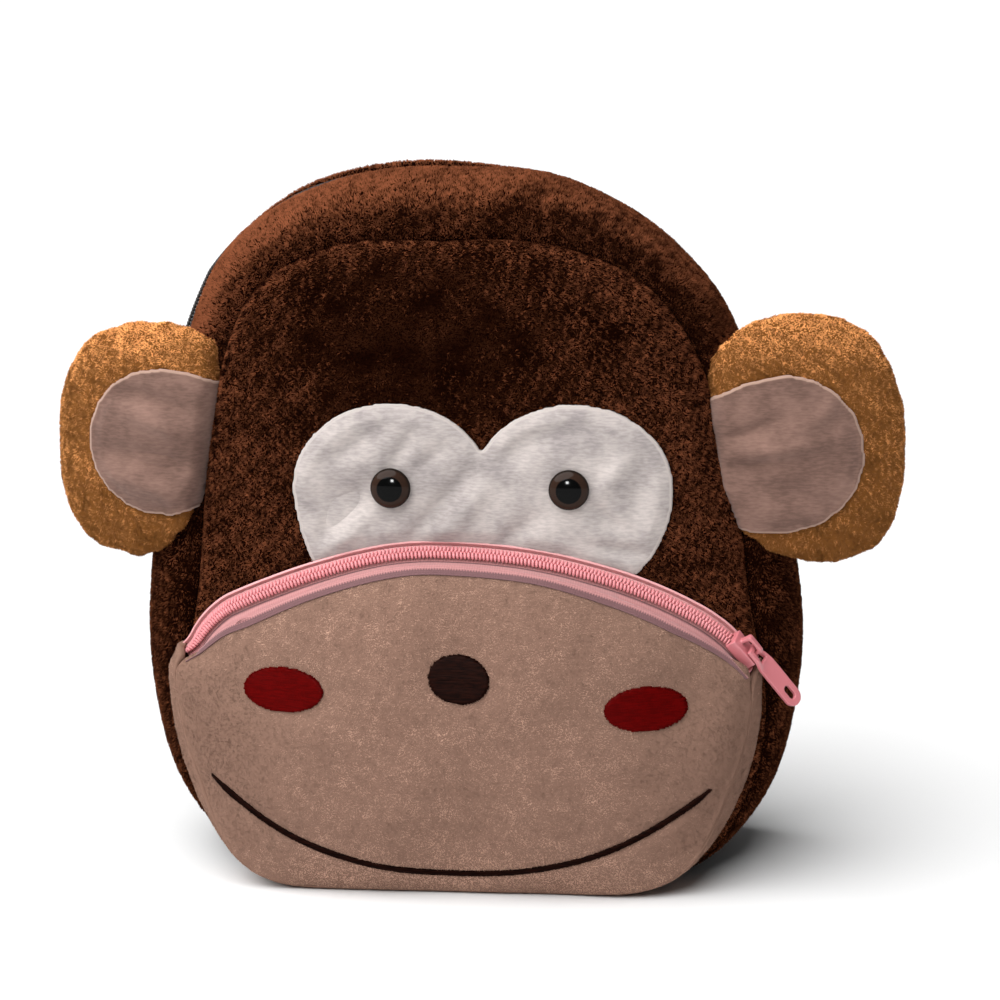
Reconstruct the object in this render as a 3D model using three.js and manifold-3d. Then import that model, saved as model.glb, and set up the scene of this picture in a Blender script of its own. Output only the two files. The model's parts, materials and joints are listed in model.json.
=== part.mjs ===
// Plush monkey-face backpack for a small child, in millimetres, +Z up, the face looking along -Y.
// The bag is a hollow shell of plush panels sewn edge to edge: a face panel, two arched bands with a
// zip between them, a base gusset and a back panel. The muzzle is a zipped pocket on the face.
import * as THREE from 'three';
import { mergeVertices } from 'three/addons/utils/BufferGeometryUtils.js';
import Module from 'manifold-3d';

const wasm = await Module();
wasm.setup();

// Cloth and sewing
const PLUSH = 3;
const POCKET_PLUSH = 2.5;
const PATCH = 1.2;
const THREAD = 0.9;
const TAPE = 0.8;
const SEAM_GAP = 0.3;

// Main bag
const BODY_DEPTH = 62;
const FACE_CROWN = 11;
const FACE_ROUND = 5;
const BACK_CROWN = 4;
const BACK_ROUND = 3;
const PANEL_CENTRE_Z = 118;
const LEAN = -14;
const LEAN_CURVE = 4;
const GIRTH_SHIFT = -1.5;
const COLUMNS_PER_ROW = 3;

// Half outlines of the bag, from the crown down to the middle of the base: the seam round the face
// panel, and the girth, where the gusset stands out furthest.
const BODY_ROWS = [
  { at: 'crown', faceX: 0, faceZ: 236, girthX: 0, girthZ: 258 },
  { at: 'brow', faceX: 42, faceZ: 234, girthX: 47, girthZ: 251 },
  { at: 'shoulder', faceX: 73, faceZ: 219, girthX: 79, girthZ: 231 },
  { at: 'temple', faceX: 89, faceZ: 192, girthX: 100, girthZ: 199 },
  { at: 'ear', faceX: 98, faceZ: 152, girthX: 114, girthZ: 156 },
  { at: 'cheek', faceX: 104, faceZ: 106, girthX: 121, girthZ: 112 },
  { at: 'jowl', faceX: 109, faceZ: 66, girthX: 122, girthZ: 70 },
  { at: 'jaw', faceX: 102, faceZ: 30, girthX: 114, girthZ: 33 },
  { at: 'corner', faceX: 84, faceZ: 5, girthX: 94, girthZ: 8 },
  { at: 'edge', faceX: 62, faceZ: 0, girthX: 66, girthZ: 0 },
  { at: 'base', faceX: 0, faceZ: 0, girthX: 0, girthZ: 0 },
];
const BODY_HEIGHT = BODY_ROWS[0].girthZ;

// Sections of the gusset from the face seam to the back seam. Girth 0 is the face outline, 1 the girth.
const GUSSET_SECTIONS = [
  { at: 'face seam', depth: 0, girth: 0 },
  { at: 'roll', depth: 4, girth: 0.42 },
  { at: 'band', depth: 14, girth: 0.8 },
  { at: 'zip front', depth: 27, girth: 1 },
  { at: 'zip back', depth: 36, girth: 1 },
  { at: 'back roll', depth: 52, girth: 0.86 },
  { at: 'back seam', depth: BODY_DEPTH, girth: 0.5 },
];
const ZIP_FRONT = 3;
const ZIP_BACK = 4;
const ZIP_END_ROW = 4;

// Share of the way from a panel's middle to its seam at which each ring of the panel lies
const FACE_REACH = [0, 0.45, 0.78, 0.93];
const BACK_REACH = [0, 0.5, 0.85];
const MUZZLE_REACH = [0, 0.4, 0.72, 0.9];

// Muzzle pocket: half outlines of its front seam and of its root on the face panel, and how far the
// seam stands off the face. The zip runs over the top from corner to corner.
const MUZZLE_ROWS = [
  { at: 'top', seamX: 0, seamZ: 120, rootX: 0, rootZ: 124.5, off: 10.5 },
  { at: 'slope', seamX: 34, seamZ: 117, rootX: 35, rootZ: 122, off: 10.5 },
  { at: 'rise', seamX: 68, seamZ: 106, rootX: 70, rootZ: 113, off: 10 },
  { at: 'shoulder', seamX: 92, seamZ: 92, rootX: 94.5, rootZ: 99, off: 10 },
  { at: 'corner', seamX: 106, seamZ: 74, rootX: 106, rootZ: 78, off: 11 },
  { at: 'cheek', seamX: 104.5, seamZ: 54, rootX: 105.5, rootZ: 54, off: 15 },
  { at: 'jaw', seamX: 95, seamZ: 29, rootX: 98, rootZ: 30, off: 20 },
  { at: 'chin corner', seamX: 79, seamZ: 7, rootX: 83, rootZ: 9, off: 23 },
  { at: 'chin edge', seamX: 58, seamZ: 0, rootX: 60, rootZ: 1, off: 24 },
  { at: 'chin', seamX: 0, seamZ: 0, rootX: 0, rootZ: 0.4, off: 24 },
];
const MUZZLE_CORNER_ROW = 4;
const MUZZLE_COLUMNS_PER_ROW = 2;
const MUZZLE_SHIFT = -3;
const MUZZLE_TILT = 0.038;
const MUZZLE_CENTRE_Z = 56;
const MUZZLE_CROWN_Y = -37;
const MUZZLE_ROUND = 2.6;
const MUZZLE_BULGE = 2;
const ROOT_SUNK = 2;
const ROOT_MARGIN = 1.2;

// Coil zips, both of the same gauge. Shares run from the pocket's root (0) to its seam (1).
const COIL_WIDTH = 5.6;
const COIL_HEIGHT = 2.4;
const COIL_SIDES = 8;
const COIL_CLEARANCE = 0.8;
const COIL_SHARE = 0.45;
const TAPE_ROOTED_SHARE = -0.25;
const TAPE_SEWN_SHARE = 0.93;
const ZIP_COLUMNS_PER_ROW = 3;

// Slider and pull tab of the pocket zip. The slider's bridge stands on its plate, and the end bar of the
// pull turns under the bridge.
const SLIDER_LENGTH = 12;
const SLIDER_THROAT = 9.2;
const SLIDER_TAIL = 7.6;
const SLIDER_PLATE = 1.8;
const SLIDER_SEGMENTS = 4;
const SLIDER_AT = 0.915;
const BRIDGE_WIDTH = 2.4;
const BRIDGE_BAR = 1.3;
const BRIDGE_SPAN = 5.2;
const BRIDGE_RISE = 3.2;
const BRIDGE_CORNER = 1.2;
const BRIDGE_SUNK = 0.5;
const PIVOT_ALONG = 1.2;
const PIVOT_RISE = 1.5;
const PULL_LENGTH = 27;
const PULL_WIDTH = 7.2;
const PULL_THICKNESS = 1.6;
const PULL_WINDOW_WIDTH = 3.8;
const PULL_WINDOW_END = 6;
const PULL_HOLE_AT = 21.5;
const PULL_HOLE_LENGTH = 5.6;
const PULL_HOLE_WIDTH = 2.6;
const TAB_SEGMENTS = 8;
const MAIN_TAB_LENGTH = 20;
const MAIN_TAB_ROOT = 4;
const MAIN_TAB_SUNK = 0.45;
const MAIN_SLIDER_FROM_END = 3;

// Face pieces. Places are the piece's middle on the face or the muzzle, X and Z.
const EYE_PATCH = { x: 4.5, z: 146, lobe: 32.2, lobeX: 35.8, lobeZ: 30.5, drop: 40 };
const EYE = { radius: 7.2, rim: 1.6, dome: 4.4, sunk: 1, left: -27.5, right: 35.5, z: 146.5 };
const EYE_SEGMENTS = 16;
const EYE_STEPS = 4;
const PATCH_SEGMENTS = 8;
const CHEEK = { halfWidth: 14.4, halfHeight: 7.8, turn: -0.02, segments: 10 };
const CHEEK_LEFT = { x: -65, z: 75.5 };
const CHEEK_RIGHT = { x: 63.5, z: 71 };
const NOSE = { x: -2, z: 82, halfWidth: 10.8, halfHeight: 8.4, turn: -0.2, segments: 10 };
const SMILE = { x: -2, lowZ: 9, radius: 140, halfAngle: 0.685, turn: 0.005, width: 2, segments: 14 };

// Ears, stuffed and dished. The outline runs round the ear: out from its root and up from its middle.
const EAR_ROWS = [
  { out: -4, up: 33 },
  { out: 10, up: 44 },
  { out: 26, up: 48 },
  { out: 43, up: 44 },
  { out: 56, up: 29 },
  { out: 62, up: 5 },
  { out: 61, up: -19 },
  { out: 48, up: -36 },
  { out: 29, up: -41 },
  { out: 8, up: -36 },
  { out: -3, up: -22 },
  { out: -6, up: 6 },
];
const EAR_COLUMNS_PER_ROW = 2;
const EAR_HALF_THICKNESS = 11;
const EAR_ROUND = 4;
const EAR_DISH = 4;
const EAR_CENTRE = { out: 26, up: 2 };
const EAR_REACH = [0, 0.4, 0.68, 0.88];
const INNER_EAR = { out: 16, up: 0, halfWidth: 31, halfHeight: 29, segments: 10 };
const EARS = [
  { side: 'left', sign: -1, x: -98, y: 3, z: 160, sweep: 0.28, roll: 0.12, size: 0.95 },
  { side: 'right', sign: 1, x: 93, y: 3, z: 162, sweep: 0.1, roll: 0.1, size: 1.01 },
];

// Shoulder straps: a padded upper length, a ladder buckle and plain webbing, along one route that
// starts and ends inside the back, where it is trimmed
const STRAP_ROUTE = [
  { x: 20, back: -4, z: 224 },
  { x: 21, back: 9, z: 226 },
  { x: 26, back: 24, z: 210 },
  { x: 37, back: 33, z: 168 },
  { x: 51, back: 34, z: 118 },
  { x: 64, back: 25, z: 68 },
  { x: 72, back: 9, z: 32 },
  { x: 73, back: -8, z: 24 },
];
const PAD = { from: 0, to: 0.57, width: 34, thickness: 6, steps: 14 };
const BUCKLE = { from: 0.573, to: 0.637, width: 27, thickness: 4.5, bar: 3.5 };
const WEBBING = { from: 0.64, to: 1, width: 20, thickness: 1.6, steps: 10 };

const MATERIALS = {
  plush_brown: { color: 0x5a3120, roughness: 0.95 },
  plush_tan: { color: 0xb8783c, roughness: 0.95 },
  plush_peach: { color: 0xd3ab95, roughness: 0.92 },
  patch_white: { color: 0xe9e6e8, roughness: 0.9 },
  patch_rose: { color: 0xb99a95, roughness: 0.85 },
  thread_red: { color: 0xb3141d, roughness: 0.6 },
  thread_brown: { color: 0x3a1d14, roughness: 0.6 },
  zip_pink: { color: 0xe39aa8, roughness: 0.7 },
  plastic_pink: { color: 0xdf8e98, roughness: 0.4 },
  eye_gloss: { color: 0x1c120d, roughness: 0.08 },
  zip_dark: { color: 0x2a1a14, roughness: 0.6 },
  webbing_brown: { color: 0x40241a, roughness: 0.8 },
  plastic_dark: { color: 0x241811, roughness: 0.45 },
};

// Points and grids

const point = (x, y, z) => new THREE.Vector3(x, y, z);
const COINCIDENT = 1e-5;

function geometryOf(triangles) {
  const corners = triangles.flatMap((corner) => [corner.x, corner.y, corner.z]);
  const geometry = new THREE.BufferGeometry();
  geometry.setAttribute('position', new THREE.Float32BufferAttribute(corners, 3));
  return geometry;
}

// Six times the enclosed volume is the sum of the triangles' triple products.
function facingOut(triangles) {
  let volume = 0;
  for (let i = 0; i < triangles.length; i += 3) {
    volume += triangles[i].dot(triangles[i + 1].clone().cross(triangles[i + 2]));
  }
  if (volume > 0) return triangles;
  const turned = [];
  for (let i = 0; i < triangles.length; i += 3) {
    turned.push(triangles[i], triangles[i + 2], triangles[i + 1]);
  }
  return turned;
}

function addTriangle(list, a, b, c) {
  const flat = [a.distanceTo(b), b.distanceTo(c), c.distanceTo(a)].some((side) => side < COINCIDENT);
  if (!flat) list.push(a, b, c);
}

function addQuad(list, a, b, c, d) {
  addTriangle(list, a, b, c);
  addTriangle(list, a, c, d);
}

// A closed body from rings of points, each ring closed on itself, the first and last shrunk to a point.
function skin(rings) {
  const triangles = [];
  const columns = rings[0].length;
  for (let i = 0; i + 1 < rings.length; i++) {
    for (let j = 0; j < columns; j++) {
      const k = (j + 1) % columns;
      addQuad(triangles, rings[i][j], rings[i][k], rings[i + 1][k], rings[i + 1][j]);
    }
  }
  return geometryOf(facingOut(triangles));
}

function middleOf(ring) {
  const sum = ring.reduce((total, p) => total.add(p), point(0, 0, 0));
  return sum.divideScalar(ring.length);
}

// The same rings with both ends closed flat
function capped(rings) {
  const shut = (ring) => ring.map(() => middleOf(ring));
  return [shut(rings[0]), ...rings, shut(rings.at(-1))];
}

// A cloth wall between an outer and an inner grid. Wrapped grids run right round; others get side edges.
function wall(outer, inner, wrapped) {
  const triangles = [];
  const last = outer.length - 1;
  const columns = outer[0].length;
  const steps = wrapped ? columns : columns - 1;
  for (let j = 0; j < steps; j++) {
    const k = (j + 1) % columns;
    for (let i = 0; i < last; i++) {
      addQuad(triangles, outer[i][j], outer[i][k], outer[i + 1][k], outer[i + 1][j]);
      addQuad(triangles, inner[i][j], inner[i + 1][j], inner[i + 1][k], inner[i][k]);
    }
    addQuad(triangles, outer[0][k], outer[0][j], inner[0][j], inner[0][k]);
    addQuad(triangles, outer[last][j], outer[last][k], inner[last][k], inner[last][j]);
  }
  if (!wrapped) {
    const end = columns - 1;
    for (let i = 0; i < last; i++) {
      addQuad(triangles, outer[i][0], outer[i + 1][0], inner[i + 1][0], inner[i][0]);
      addQuad(triangles, outer[i + 1][end], outer[i][end], inner[i][end], inner[i + 1][end]);
    }
  }
  return geometryOf(facingOut(triangles));
}

// Outward normals of a grid of rings, by differences. Where a ring is a point, the given pole is used.
function normalsOf(rings, frontPole, backPole) {
  const columns = rings[0].length;
  return rings.map((ring, i) => ring.map((p, j) => {
    const shrunk = ring[0].distanceTo(ring[1]) < COINCIDENT;
    if (shrunk) return (i === 0 ? frontPole : backPole).clone();
    const after = rings[Math.min(i + 1, rings.length - 1)][j];
    const before = rings[Math.max(i - 1, 0)][j];
    const along = after.clone().sub(before);
    const round = ring[(j + 1) % columns].clone().sub(ring[(j + columns - 1) % columns]);
    return round.cross(along).normalize();
  }));
}

function offset(rings, normals, distance) {
  return rings.map((ring, i) => ring.map((p, j) => p.clone().addScaledVector(normals[i][j], distance)));
}

// Part of a grid, with its edges drawn in by half a seam gap
function cutOut(grid, firstRing, lastRing, columns) {
  const rings = grid.slice(firstRing, lastRing + 1).map((ring) => columns.map((c) => ring[c].clone()));
  const drawIn = (edge, next) => edge.forEach((p, j) => {
    const away = next[j].clone().sub(p);
    if (away.length() > SEAM_GAP) p.addScaledVector(away.normalize(), SEAM_GAP / 2);
  });
  const isPoint = (ring) => ring[0].distanceTo(ring[1]) < COINCIDENT;
  if (!isPoint(rings[0])) drawIn(rings[0], rings[1]);
  if (!isPoint(rings.at(-1))) drawIn(rings.at(-1), rings.at(-2));
  return rings;
}

function drawInSides(grid) {
  return grid.map((ring) => {
    const first = ring[0].clone().lerp(ring[1], SEAM_GAP / 2 / ring[0].distanceTo(ring[1]));
    const end = ring.at(-1).clone().lerp(ring.at(-2), SEAM_GAP / 2 / ring.at(-1).distanceTo(ring.at(-2)));
    return [first, ...ring.slice(1, -1), end];
  });
}

// Closed outline through a half table and its mirror image, from the top round towards +X
function outline(rows, xColumn, zColumn, perRow) {
  const right = rows.map((row) => point(row[xColumn], 0, row[zColumn]));
  const left = rows.slice(1, -1).reverse().map((row) => point(-row[xColumn], 0, row[zColumn]));
  const curve = new THREE.CatmullRomCurve3([...right, ...left], true, 'centripetal');
  const count = (right.length + left.length) * perRow;
  return Array.from({ length: count }, (_, i) => {
    const p = curve.getPoint(i / count);
    p.z = Math.max(p.z, 0);
    return p;
  });
}

// Solids for cutting and joining

function solidOf(geometry) {
  const bare = geometry.clone();
  bare.deleteAttribute('normal');
  bare.deleteAttribute('uv');
  const merged = mergeVertices(bare, 1e-4);
  const vertProperties = merged.attributes.position.array;
  const triVerts = new Uint32Array(merged.index.array);
  return new wasm.Manifold(new wasm.Mesh({ numProp: 3, vertProperties, triVerts }));
}

function geometryFrom(solid) {
  const mesh = solid.getMesh();
  const geometry = new THREE.BufferGeometry();
  geometry.setAttribute('position', new THREE.Float32BufferAttribute(mesh.vertProperties, 3));
  geometry.setIndex(new THREE.Uint32BufferAttribute(mesh.triVerts, 1));
  return geometry;
}

const cutFrom = (geometry, tool) => geometryFrom(solidOf(geometry).subtract(solidOf(tool)));
const common = (geometry, tool) => geometryFrom(solidOf(geometry).intersect(solidOf(tool)));
const joined = (geometry, tool) => geometryFrom(solidOf(geometry).add(solidOf(tool)));

const bag = new THREE.Group();

function meshOf(name, geometry, material) {
  const facets = geometry.index ? geometry.toNonIndexed() : geometry;
  facets.computeVertexNormals();
  const mesh = new THREE.Mesh(facets, new THREE.MeshStandardMaterial(MATERIALS[material]));
  mesh.name = name;
  return mesh;
}

function add(name, geometry, material) {
  bag.add(meshOf(name, geometry, material));
}

// Main shell

const leanAt = (z) => LEAN * (z / BODY_HEIGHT) ** LEAN_CURVE;
const faceOutline = outline(BODY_ROWS, 'faceX', 'faceZ', COLUMNS_PER_ROW);
const girthOutline = outline(BODY_ROWS, 'girthX', 'girthZ', COLUMNS_PER_ROW);
const BODY_COLUMNS = faceOutline.length;
const allColumns = Array.from({ length: BODY_COLUMNS }, (_, i) => i);

function gussetRing(section) {
  return faceOutline.map((p, j) => {
    const q = p.clone().lerp(girthOutline[j], section.girth);
    return point(q.x + leanAt(q.z) + GIRTH_SHIFT * section.girth, section.depth, q.z);
  });
}

// Ring of a crowned panel inside its seam. Direction is -1 on the face and 1 on the back.
function panelRing(seam, reach, crown, round, direction) {
  const centre = point(leanAt(PANEL_CENTRE_Z), seam[0].y, PANEL_CENTRE_Z);
  return seam.map((p) => {
    const q = centre.clone().lerp(p, reach);
    q.y += direction * crown * (1 - reach ** round);
    return q;
  });
}

const gussetRings = GUSSET_SECTIONS.map(gussetRing);
const faceRings = FACE_REACH.map((r) => panelRing(gussetRings[0], r, FACE_CROWN, FACE_ROUND, -1));
const backRings = BACK_REACH.map((r) => panelRing(gussetRings.at(-1), r, BACK_CROWN, BACK_ROUND, 1));
const shell = [...faceRings, ...gussetRings, ...backRings.reverse()];
const shellNormals = normalsOf(shell, point(0, -1, 0), point(0, 1, 0));
const lining = offset(shell, shellNormals, -PLUSH);
const FACE_SEAM = FACE_REACH.length;
const BACK_SEAM = FACE_SEAM + GUSSET_SECTIONS.length - 1;
const ARCH_HALF = ZIP_END_ROW * COLUMNS_PER_ROW;
const wrapColumn = (c) => (c + BODY_COLUMNS) % BODY_COLUMNS;
const archColumns = Array.from({ length: 2 * ARCH_HALF + 1 }, (_, i) => wrapColumn(i - ARCH_HALF));
const baseColumns = allColumns.slice(ARCH_HALF, BODY_COLUMNS - ARCH_HALF + 1);

function shellPanel(firstRing, lastRing, columns = allColumns) {
  const wrapped = columns.length === BODY_COLUMNS;
  const trim = (grid) => {
    const cut = cutOut(grid, firstRing, lastRing, columns);
    return wrapped ? cut : drawInSides(cut);
  };
  return wall(trim(shell), trim(lining), wrapped);
}

add('face_panel', shellPanel(0, FACE_SEAM), 'plush_brown');
add('arch_band_front', shellPanel(FACE_SEAM, FACE_SEAM + ZIP_FRONT, archColumns), 'plush_brown');
add('arch_band_back', shellPanel(FACE_SEAM + ZIP_BACK, BACK_SEAM, archColumns), 'plush_brown');
add('base_gusset', shellPanel(FACE_SEAM, BACK_SEAM, baseColumns), 'plush_brown');
add('back_panel', shellPanel(BACK_SEAM, shell.length - 1), 'plush_brown');

// A coil or cord of oval section: centres, with the directions across it and out of the cloth
function coil(stations, width, height) {
  const rings = stations.map(({ centre, across, out }) => Array.from({ length: COIL_SIDES }, (_, i) => {
    const angle = (2 * Math.PI * i) / COIL_SIDES;
    const p = centre.clone().addScaledVector(across, (width / 2) * Math.cos(angle));
    return p.addScaledVector(out, (height / 2) * Math.sin(angle));
  }));
  return skin(capped(rings));
}

// Main zip over the arch: one tape between the two bands, with the coil along its middle

const tapeRings = [ZIP_FRONT, ZIP_BACK].map((section) => shell[FACE_SEAM + section]);
const tapeNormals = [ZIP_FRONT, ZIP_BACK].map((section) => shellNormals[FACE_SEAM + section]);
const mainTapeOuter = drawInSides(cutOut(tapeRings, 0, 1, archColumns));
const mainTapeInner = drawInSides(cutOut(offset(tapeRings, tapeNormals, -TAPE), 0, 1, archColumns));
add('main_zip_tape', wall(mainTapeOuter, mainTapeInner, false), 'zip_dark');

const mainZipStations = mainTapeOuter[0].map((front, j) => {
  const back = mainTapeOuter[1][j];
  const out = tapeNormals[0][archColumns[j]].clone().add(tapeNormals[1][archColumns[j]]).normalize();
  const lift = SEAM_GAP + COIL_HEIGHT / 2;
  const centre = front.clone().lerp(back, 0.5).addScaledVector(out, lift);
  return { centre, across: back.clone().sub(front).normalize(), out };
});
add('main_zip_coil', coil(mainZipStations, COIL_WIDTH, COIL_HEIGHT), 'zip_dark');

// The bag grown by the sewing gap, which trims what sits against it, and copies of a surface moved along Y

const bagEnvelope = skin(offset(shell, shellNormals, SEAM_GAP));
const slide = (rings, dy) => rings.map((ring) => ring.map((p) => point(p.x, p.y + dy, p.z)));
const faceSurface = shell.slice(0, FACE_SEAM + 1);

// A prism of a flat X-Z outline, long enough along Y to pass through the whole bag
const FAR = 200;

function flatShape(shape, height, curveSegments) {
  return new THREE.ExtrudeGeometry(shape, { depth: height, bevelEnabled: false, curveSegments });
}

function prism(shape, curveSegments) {
  const geometry = flatShape(shape, 2 * FAR, curveSegments);
  geometry.rotateX(Math.PI / 2);
  geometry.translate(0, FAR, 0);
  return geometry;
}

// A thin piece lying on a surface that faces -Y, cut to a flat outline
function laidOn(surface, shape, lift, thickness, curveSegments) {
  const slab = wall(slide(surface, -lift - thickness), slide(surface, -lift), true);
  return common(slab, prism(shape, curveSegments));
}

// Where a line along Y first meets a geometry, seen from the front
function frontOf(geometry, x, z) {
  const ray = new THREE.Raycaster(point(x, -FAR, z), point(0, 1, 0));
  const target = new THREE.Mesh(geometry, new THREE.MeshBasicMaterial({ side: THREE.DoubleSide }));
  const hits = ray.intersectObject(target);
  return hits.length ? hits[0] : null;
}

// Muzzle pocket

function placeMuzzle(p) {
  const height = p.z / MUZZLE_ROWS[0].seamZ;
  return point(p.x + MUZZLE_SHIFT, 0, p.z - p.x * MUZZLE_TILT * height);
}

const facePanel = bag.getObjectByName('face_panel').geometry;
const faceY = (x, z) => frontOf(facePanel, x, z)?.point.y ?? 0;

function muzzleOutlines(perRow) {
  const seam = outline(MUZZLE_ROWS, 'seamX', 'seamZ', perRow).map(placeMuzzle);
  const root = outline(MUZZLE_ROWS, 'rootX', 'rootZ', perRow).map(placeMuzzle);
  const offs = outline(MUZZLE_ROWS, 'seamX', 'off', perRow).map((p) => p.z);
  root.forEach((p) => { p.y = faceY(p.x, p.z); });
  seam.forEach((p, j) => { p.y = root[j].y - offs[j]; });
  return { seam, root };
}

const { seam: muzzleSeam, root: muzzleRoot } = muzzleOutlines(MUZZLE_COLUMNS_PER_ROW);
const muzzleCentre = placeMuzzle(point(0, 0, MUZZLE_CENTRE_Z));
muzzleCentre.y = MUZZLE_CROWN_Y;

function muzzleRing(reach) {
  return muzzleSeam.map((p) => {
    const q = muzzleCentre.clone().lerp(p, reach);
    q.y = THREE.MathUtils.lerp(MUZZLE_CROWN_Y, p.y, reach ** MUZZLE_ROUND);
    return q;
  });
}

const sunkRoot = muzzleRoot.map((p) => point(p.x, p.y + ROOT_SUNK, p.z));
const bulgeRing = muzzleRoot.map((p, j) => {
  const q = p.clone().lerp(muzzleSeam[j], 0.5);
  const out = q.clone().sub(muzzleCentre).setY(0).normalize();
  q.addScaledVector(out, MUZZLE_BULGE);
  q.z = Math.max(q.z, 0);
  return q;
});
const pocket = [...MUZZLE_REACH.map(muzzleRing), muzzleSeam, bulgeRing, sunkRoot];
const pocketNormals = normalsOf(pocket, point(0, -1, 0), point(0, 0, 0));
const pocketLining = offset(pocket, pocketNormals, -POCKET_PLUSH);
const POCKET_SEAM = MUZZLE_REACH.length;
const POCKET_COLUMNS = muzzleSeam.length;
const CORNER_COLUMN = MUZZLE_CORNER_ROW * MUZZLE_COLUMNS_PER_ROW;
const pocketColumns = Array.from({ length: POCKET_COLUMNS }, (_, i) => i);
const sideColumns = pocketColumns.slice(CORNER_COLUMN, POCKET_COLUMNS - CORNER_COLUMN + 1);

const muzzleOuter = cutOut(pocket, 0, POCKET_SEAM, pocketColumns);
const muzzleInner = cutOut(pocketLining, 0, POCKET_SEAM, pocketColumns);
add('muzzle_front', wall(muzzleOuter, muzzleInner, true), 'plush_peach');

const sideOuter = drawInSides(cutOut(pocket, POCKET_SEAM, pocket.length - 1, sideColumns));
const sideInner = drawInSides(cutOut(pocketLining, POCKET_SEAM, pocket.length - 1, sideColumns));
add('muzzle_gusset', cutFrom(wall(sideOuter, sideInner, false), bagEnvelope), 'plush_peach');

// Pocket zip: a lower tape sewn to the muzzle, an upper tape sewn to the face, and the coil between them

const fine = muzzleOutlines(ZIP_COLUMNS_PER_ROW);
const ZIP_HALF = MUZZLE_CORNER_ROW * ZIP_COLUMNS_PER_ROW;
const zipColumns = Array.from({ length: 2 * ZIP_HALF + 1 }, (_, i) => {
  const count = fine.seam.length;
  return (i - ZIP_HALF + count) % count;
});

const zipRoot = zipColumns.map((c) => fine.root[c]);
const zipSeam = zipColumns.map((c) => fine.seam[c]);
const zipMiddle = zipRoot.map((root, j) => root.clone().lerp(zipSeam[j], 0.5));
const zipFrames = zipRoot.map((root, j) => {
  const after = zipMiddle[Math.min(j + 1, zipMiddle.length - 1)];
  const before = zipMiddle[Math.max(j - 1, 0)];
  const along = after.clone().sub(before).normalize();
  const across = zipSeam[j].clone().sub(root).normalize();
  return { across, out: across.clone().cross(along).normalize() };
});

function tapeBand(fromShare, toShare) {
  const at = (share, depth) => zipRoot.map((root, j) => {
    const p = root.clone().lerp(zipSeam[j], share);
    return p.addScaledVector(zipFrames[j].out, -depth);
  });
  const outer = drawInSides([at(fromShare, 0), at(toShare, 0)]);
  const inner = drawInSides([at(fromShare, TAPE), at(toShare, TAPE)]);
  return wall(outer, inner, false);
}

const zipNarrowest = Math.min(...zipRoot.map((root, j) => root.distanceTo(zipSeam[j])));
const gapShare = SEAM_GAP / zipNarrowest;
const upperTape = tapeBand(TAPE_ROOTED_SHARE, COIL_SHARE - gapShare);
add('pocket_tape_upper', cutFrom(upperTape, bagEnvelope), 'zip_pink');

const muzzleFront = solidOf(bag.getObjectByName('muzzle_front').geometry);
const lowerTape = solidOf(tapeBand(COIL_SHARE, TAPE_SEWN_SHARE));
const sideWall = solidOf(bag.getObjectByName('muzzle_gusset').geometry);
add('pocket_tape_lower', geometryFrom(lowerTape.subtract(muzzleFront).subtract(sideWall)), 'zip_pink');

const pocketStations = zipRoot.map((root, j) => {
  const lift = SEAM_GAP + COIL_HEIGHT / 2;
  const centre = root.clone().lerp(zipSeam[j], COIL_SHARE).addScaledVector(zipFrames[j].out, lift);
  return { centre, across: zipFrames[j].across, out: zipFrames[j].out };
});
const pocketCoil = pocketStations.slice(1, -1);
add('pocket_zip_coil', coil(pocketCoil, COIL_WIDTH, COIL_HEIGHT), 'zip_pink');

// Zip sliders: a channel that straddles the coil, with its wide end leading

function sliderGroup(stations, index) {
  const along = stations[index + 1].centre.clone().sub(stations[index - 1].centre).normalize();
  const side = stations[index].out.clone().cross(along).normalize();
  const group = new THREE.Group();
  group.position.copy(stations[index].centre);
  group.setRotationFromMatrix(new THREE.Matrix4().makeBasis(along, side, along.clone().cross(side)));
  group.updateMatrixWorld(true);
  bag.add(group);
  return group;
}

const inFrameOf = (group, geometry) => geometry.clone().applyMatrix4(group.matrixWorld.clone().invert());

const PLATE_TOP = COIL_HEIGHT / 2 + SEAM_GAP + SLIDER_PLATE;

function sliderBody(group, stations) {
  const half = SLIDER_LENGTH / 2;
  const plan = new THREE.Shape();
  plan.moveTo(-half, -SLIDER_TAIL / 2);
  plan.quadraticCurveTo(0, -SLIDER_TAIL / 2, half, -SLIDER_THROAT / 2);
  plan.lineTo(half, SLIDER_THROAT / 2);
  plan.quadraticCurveTo(0, SLIDER_TAIL / 2, -half, SLIDER_TAIL / 2);
  const body = flatShape(plan, PLATE_TOP + COIL_HEIGHT / 2, SLIDER_SEGMENTS);
  body.translate(0, 0, -COIL_HEIGHT / 2);
  const channel = coil(stations, COIL_WIDTH + COIL_CLEARANCE, COIL_HEIGHT + COIL_CLEARANCE);
  return cutFrom(body, inFrameOf(group, channel));
}

function archShape(span, rise) {
  const shape = new THREE.Shape();
  const corner = BRIDGE_CORNER;
  shape.moveTo(-span / 2, 0);
  shape.lineTo(-span / 2, rise - corner);
  shape.quadraticCurveTo(-span / 2, rise, -span / 2 + corner, rise);
  shape.lineTo(span / 2 - corner, rise);
  shape.quadraticCurveTo(span / 2, rise, span / 2, rise - corner);
  shape.lineTo(span / 2, 0);
  return shape;
}

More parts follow.
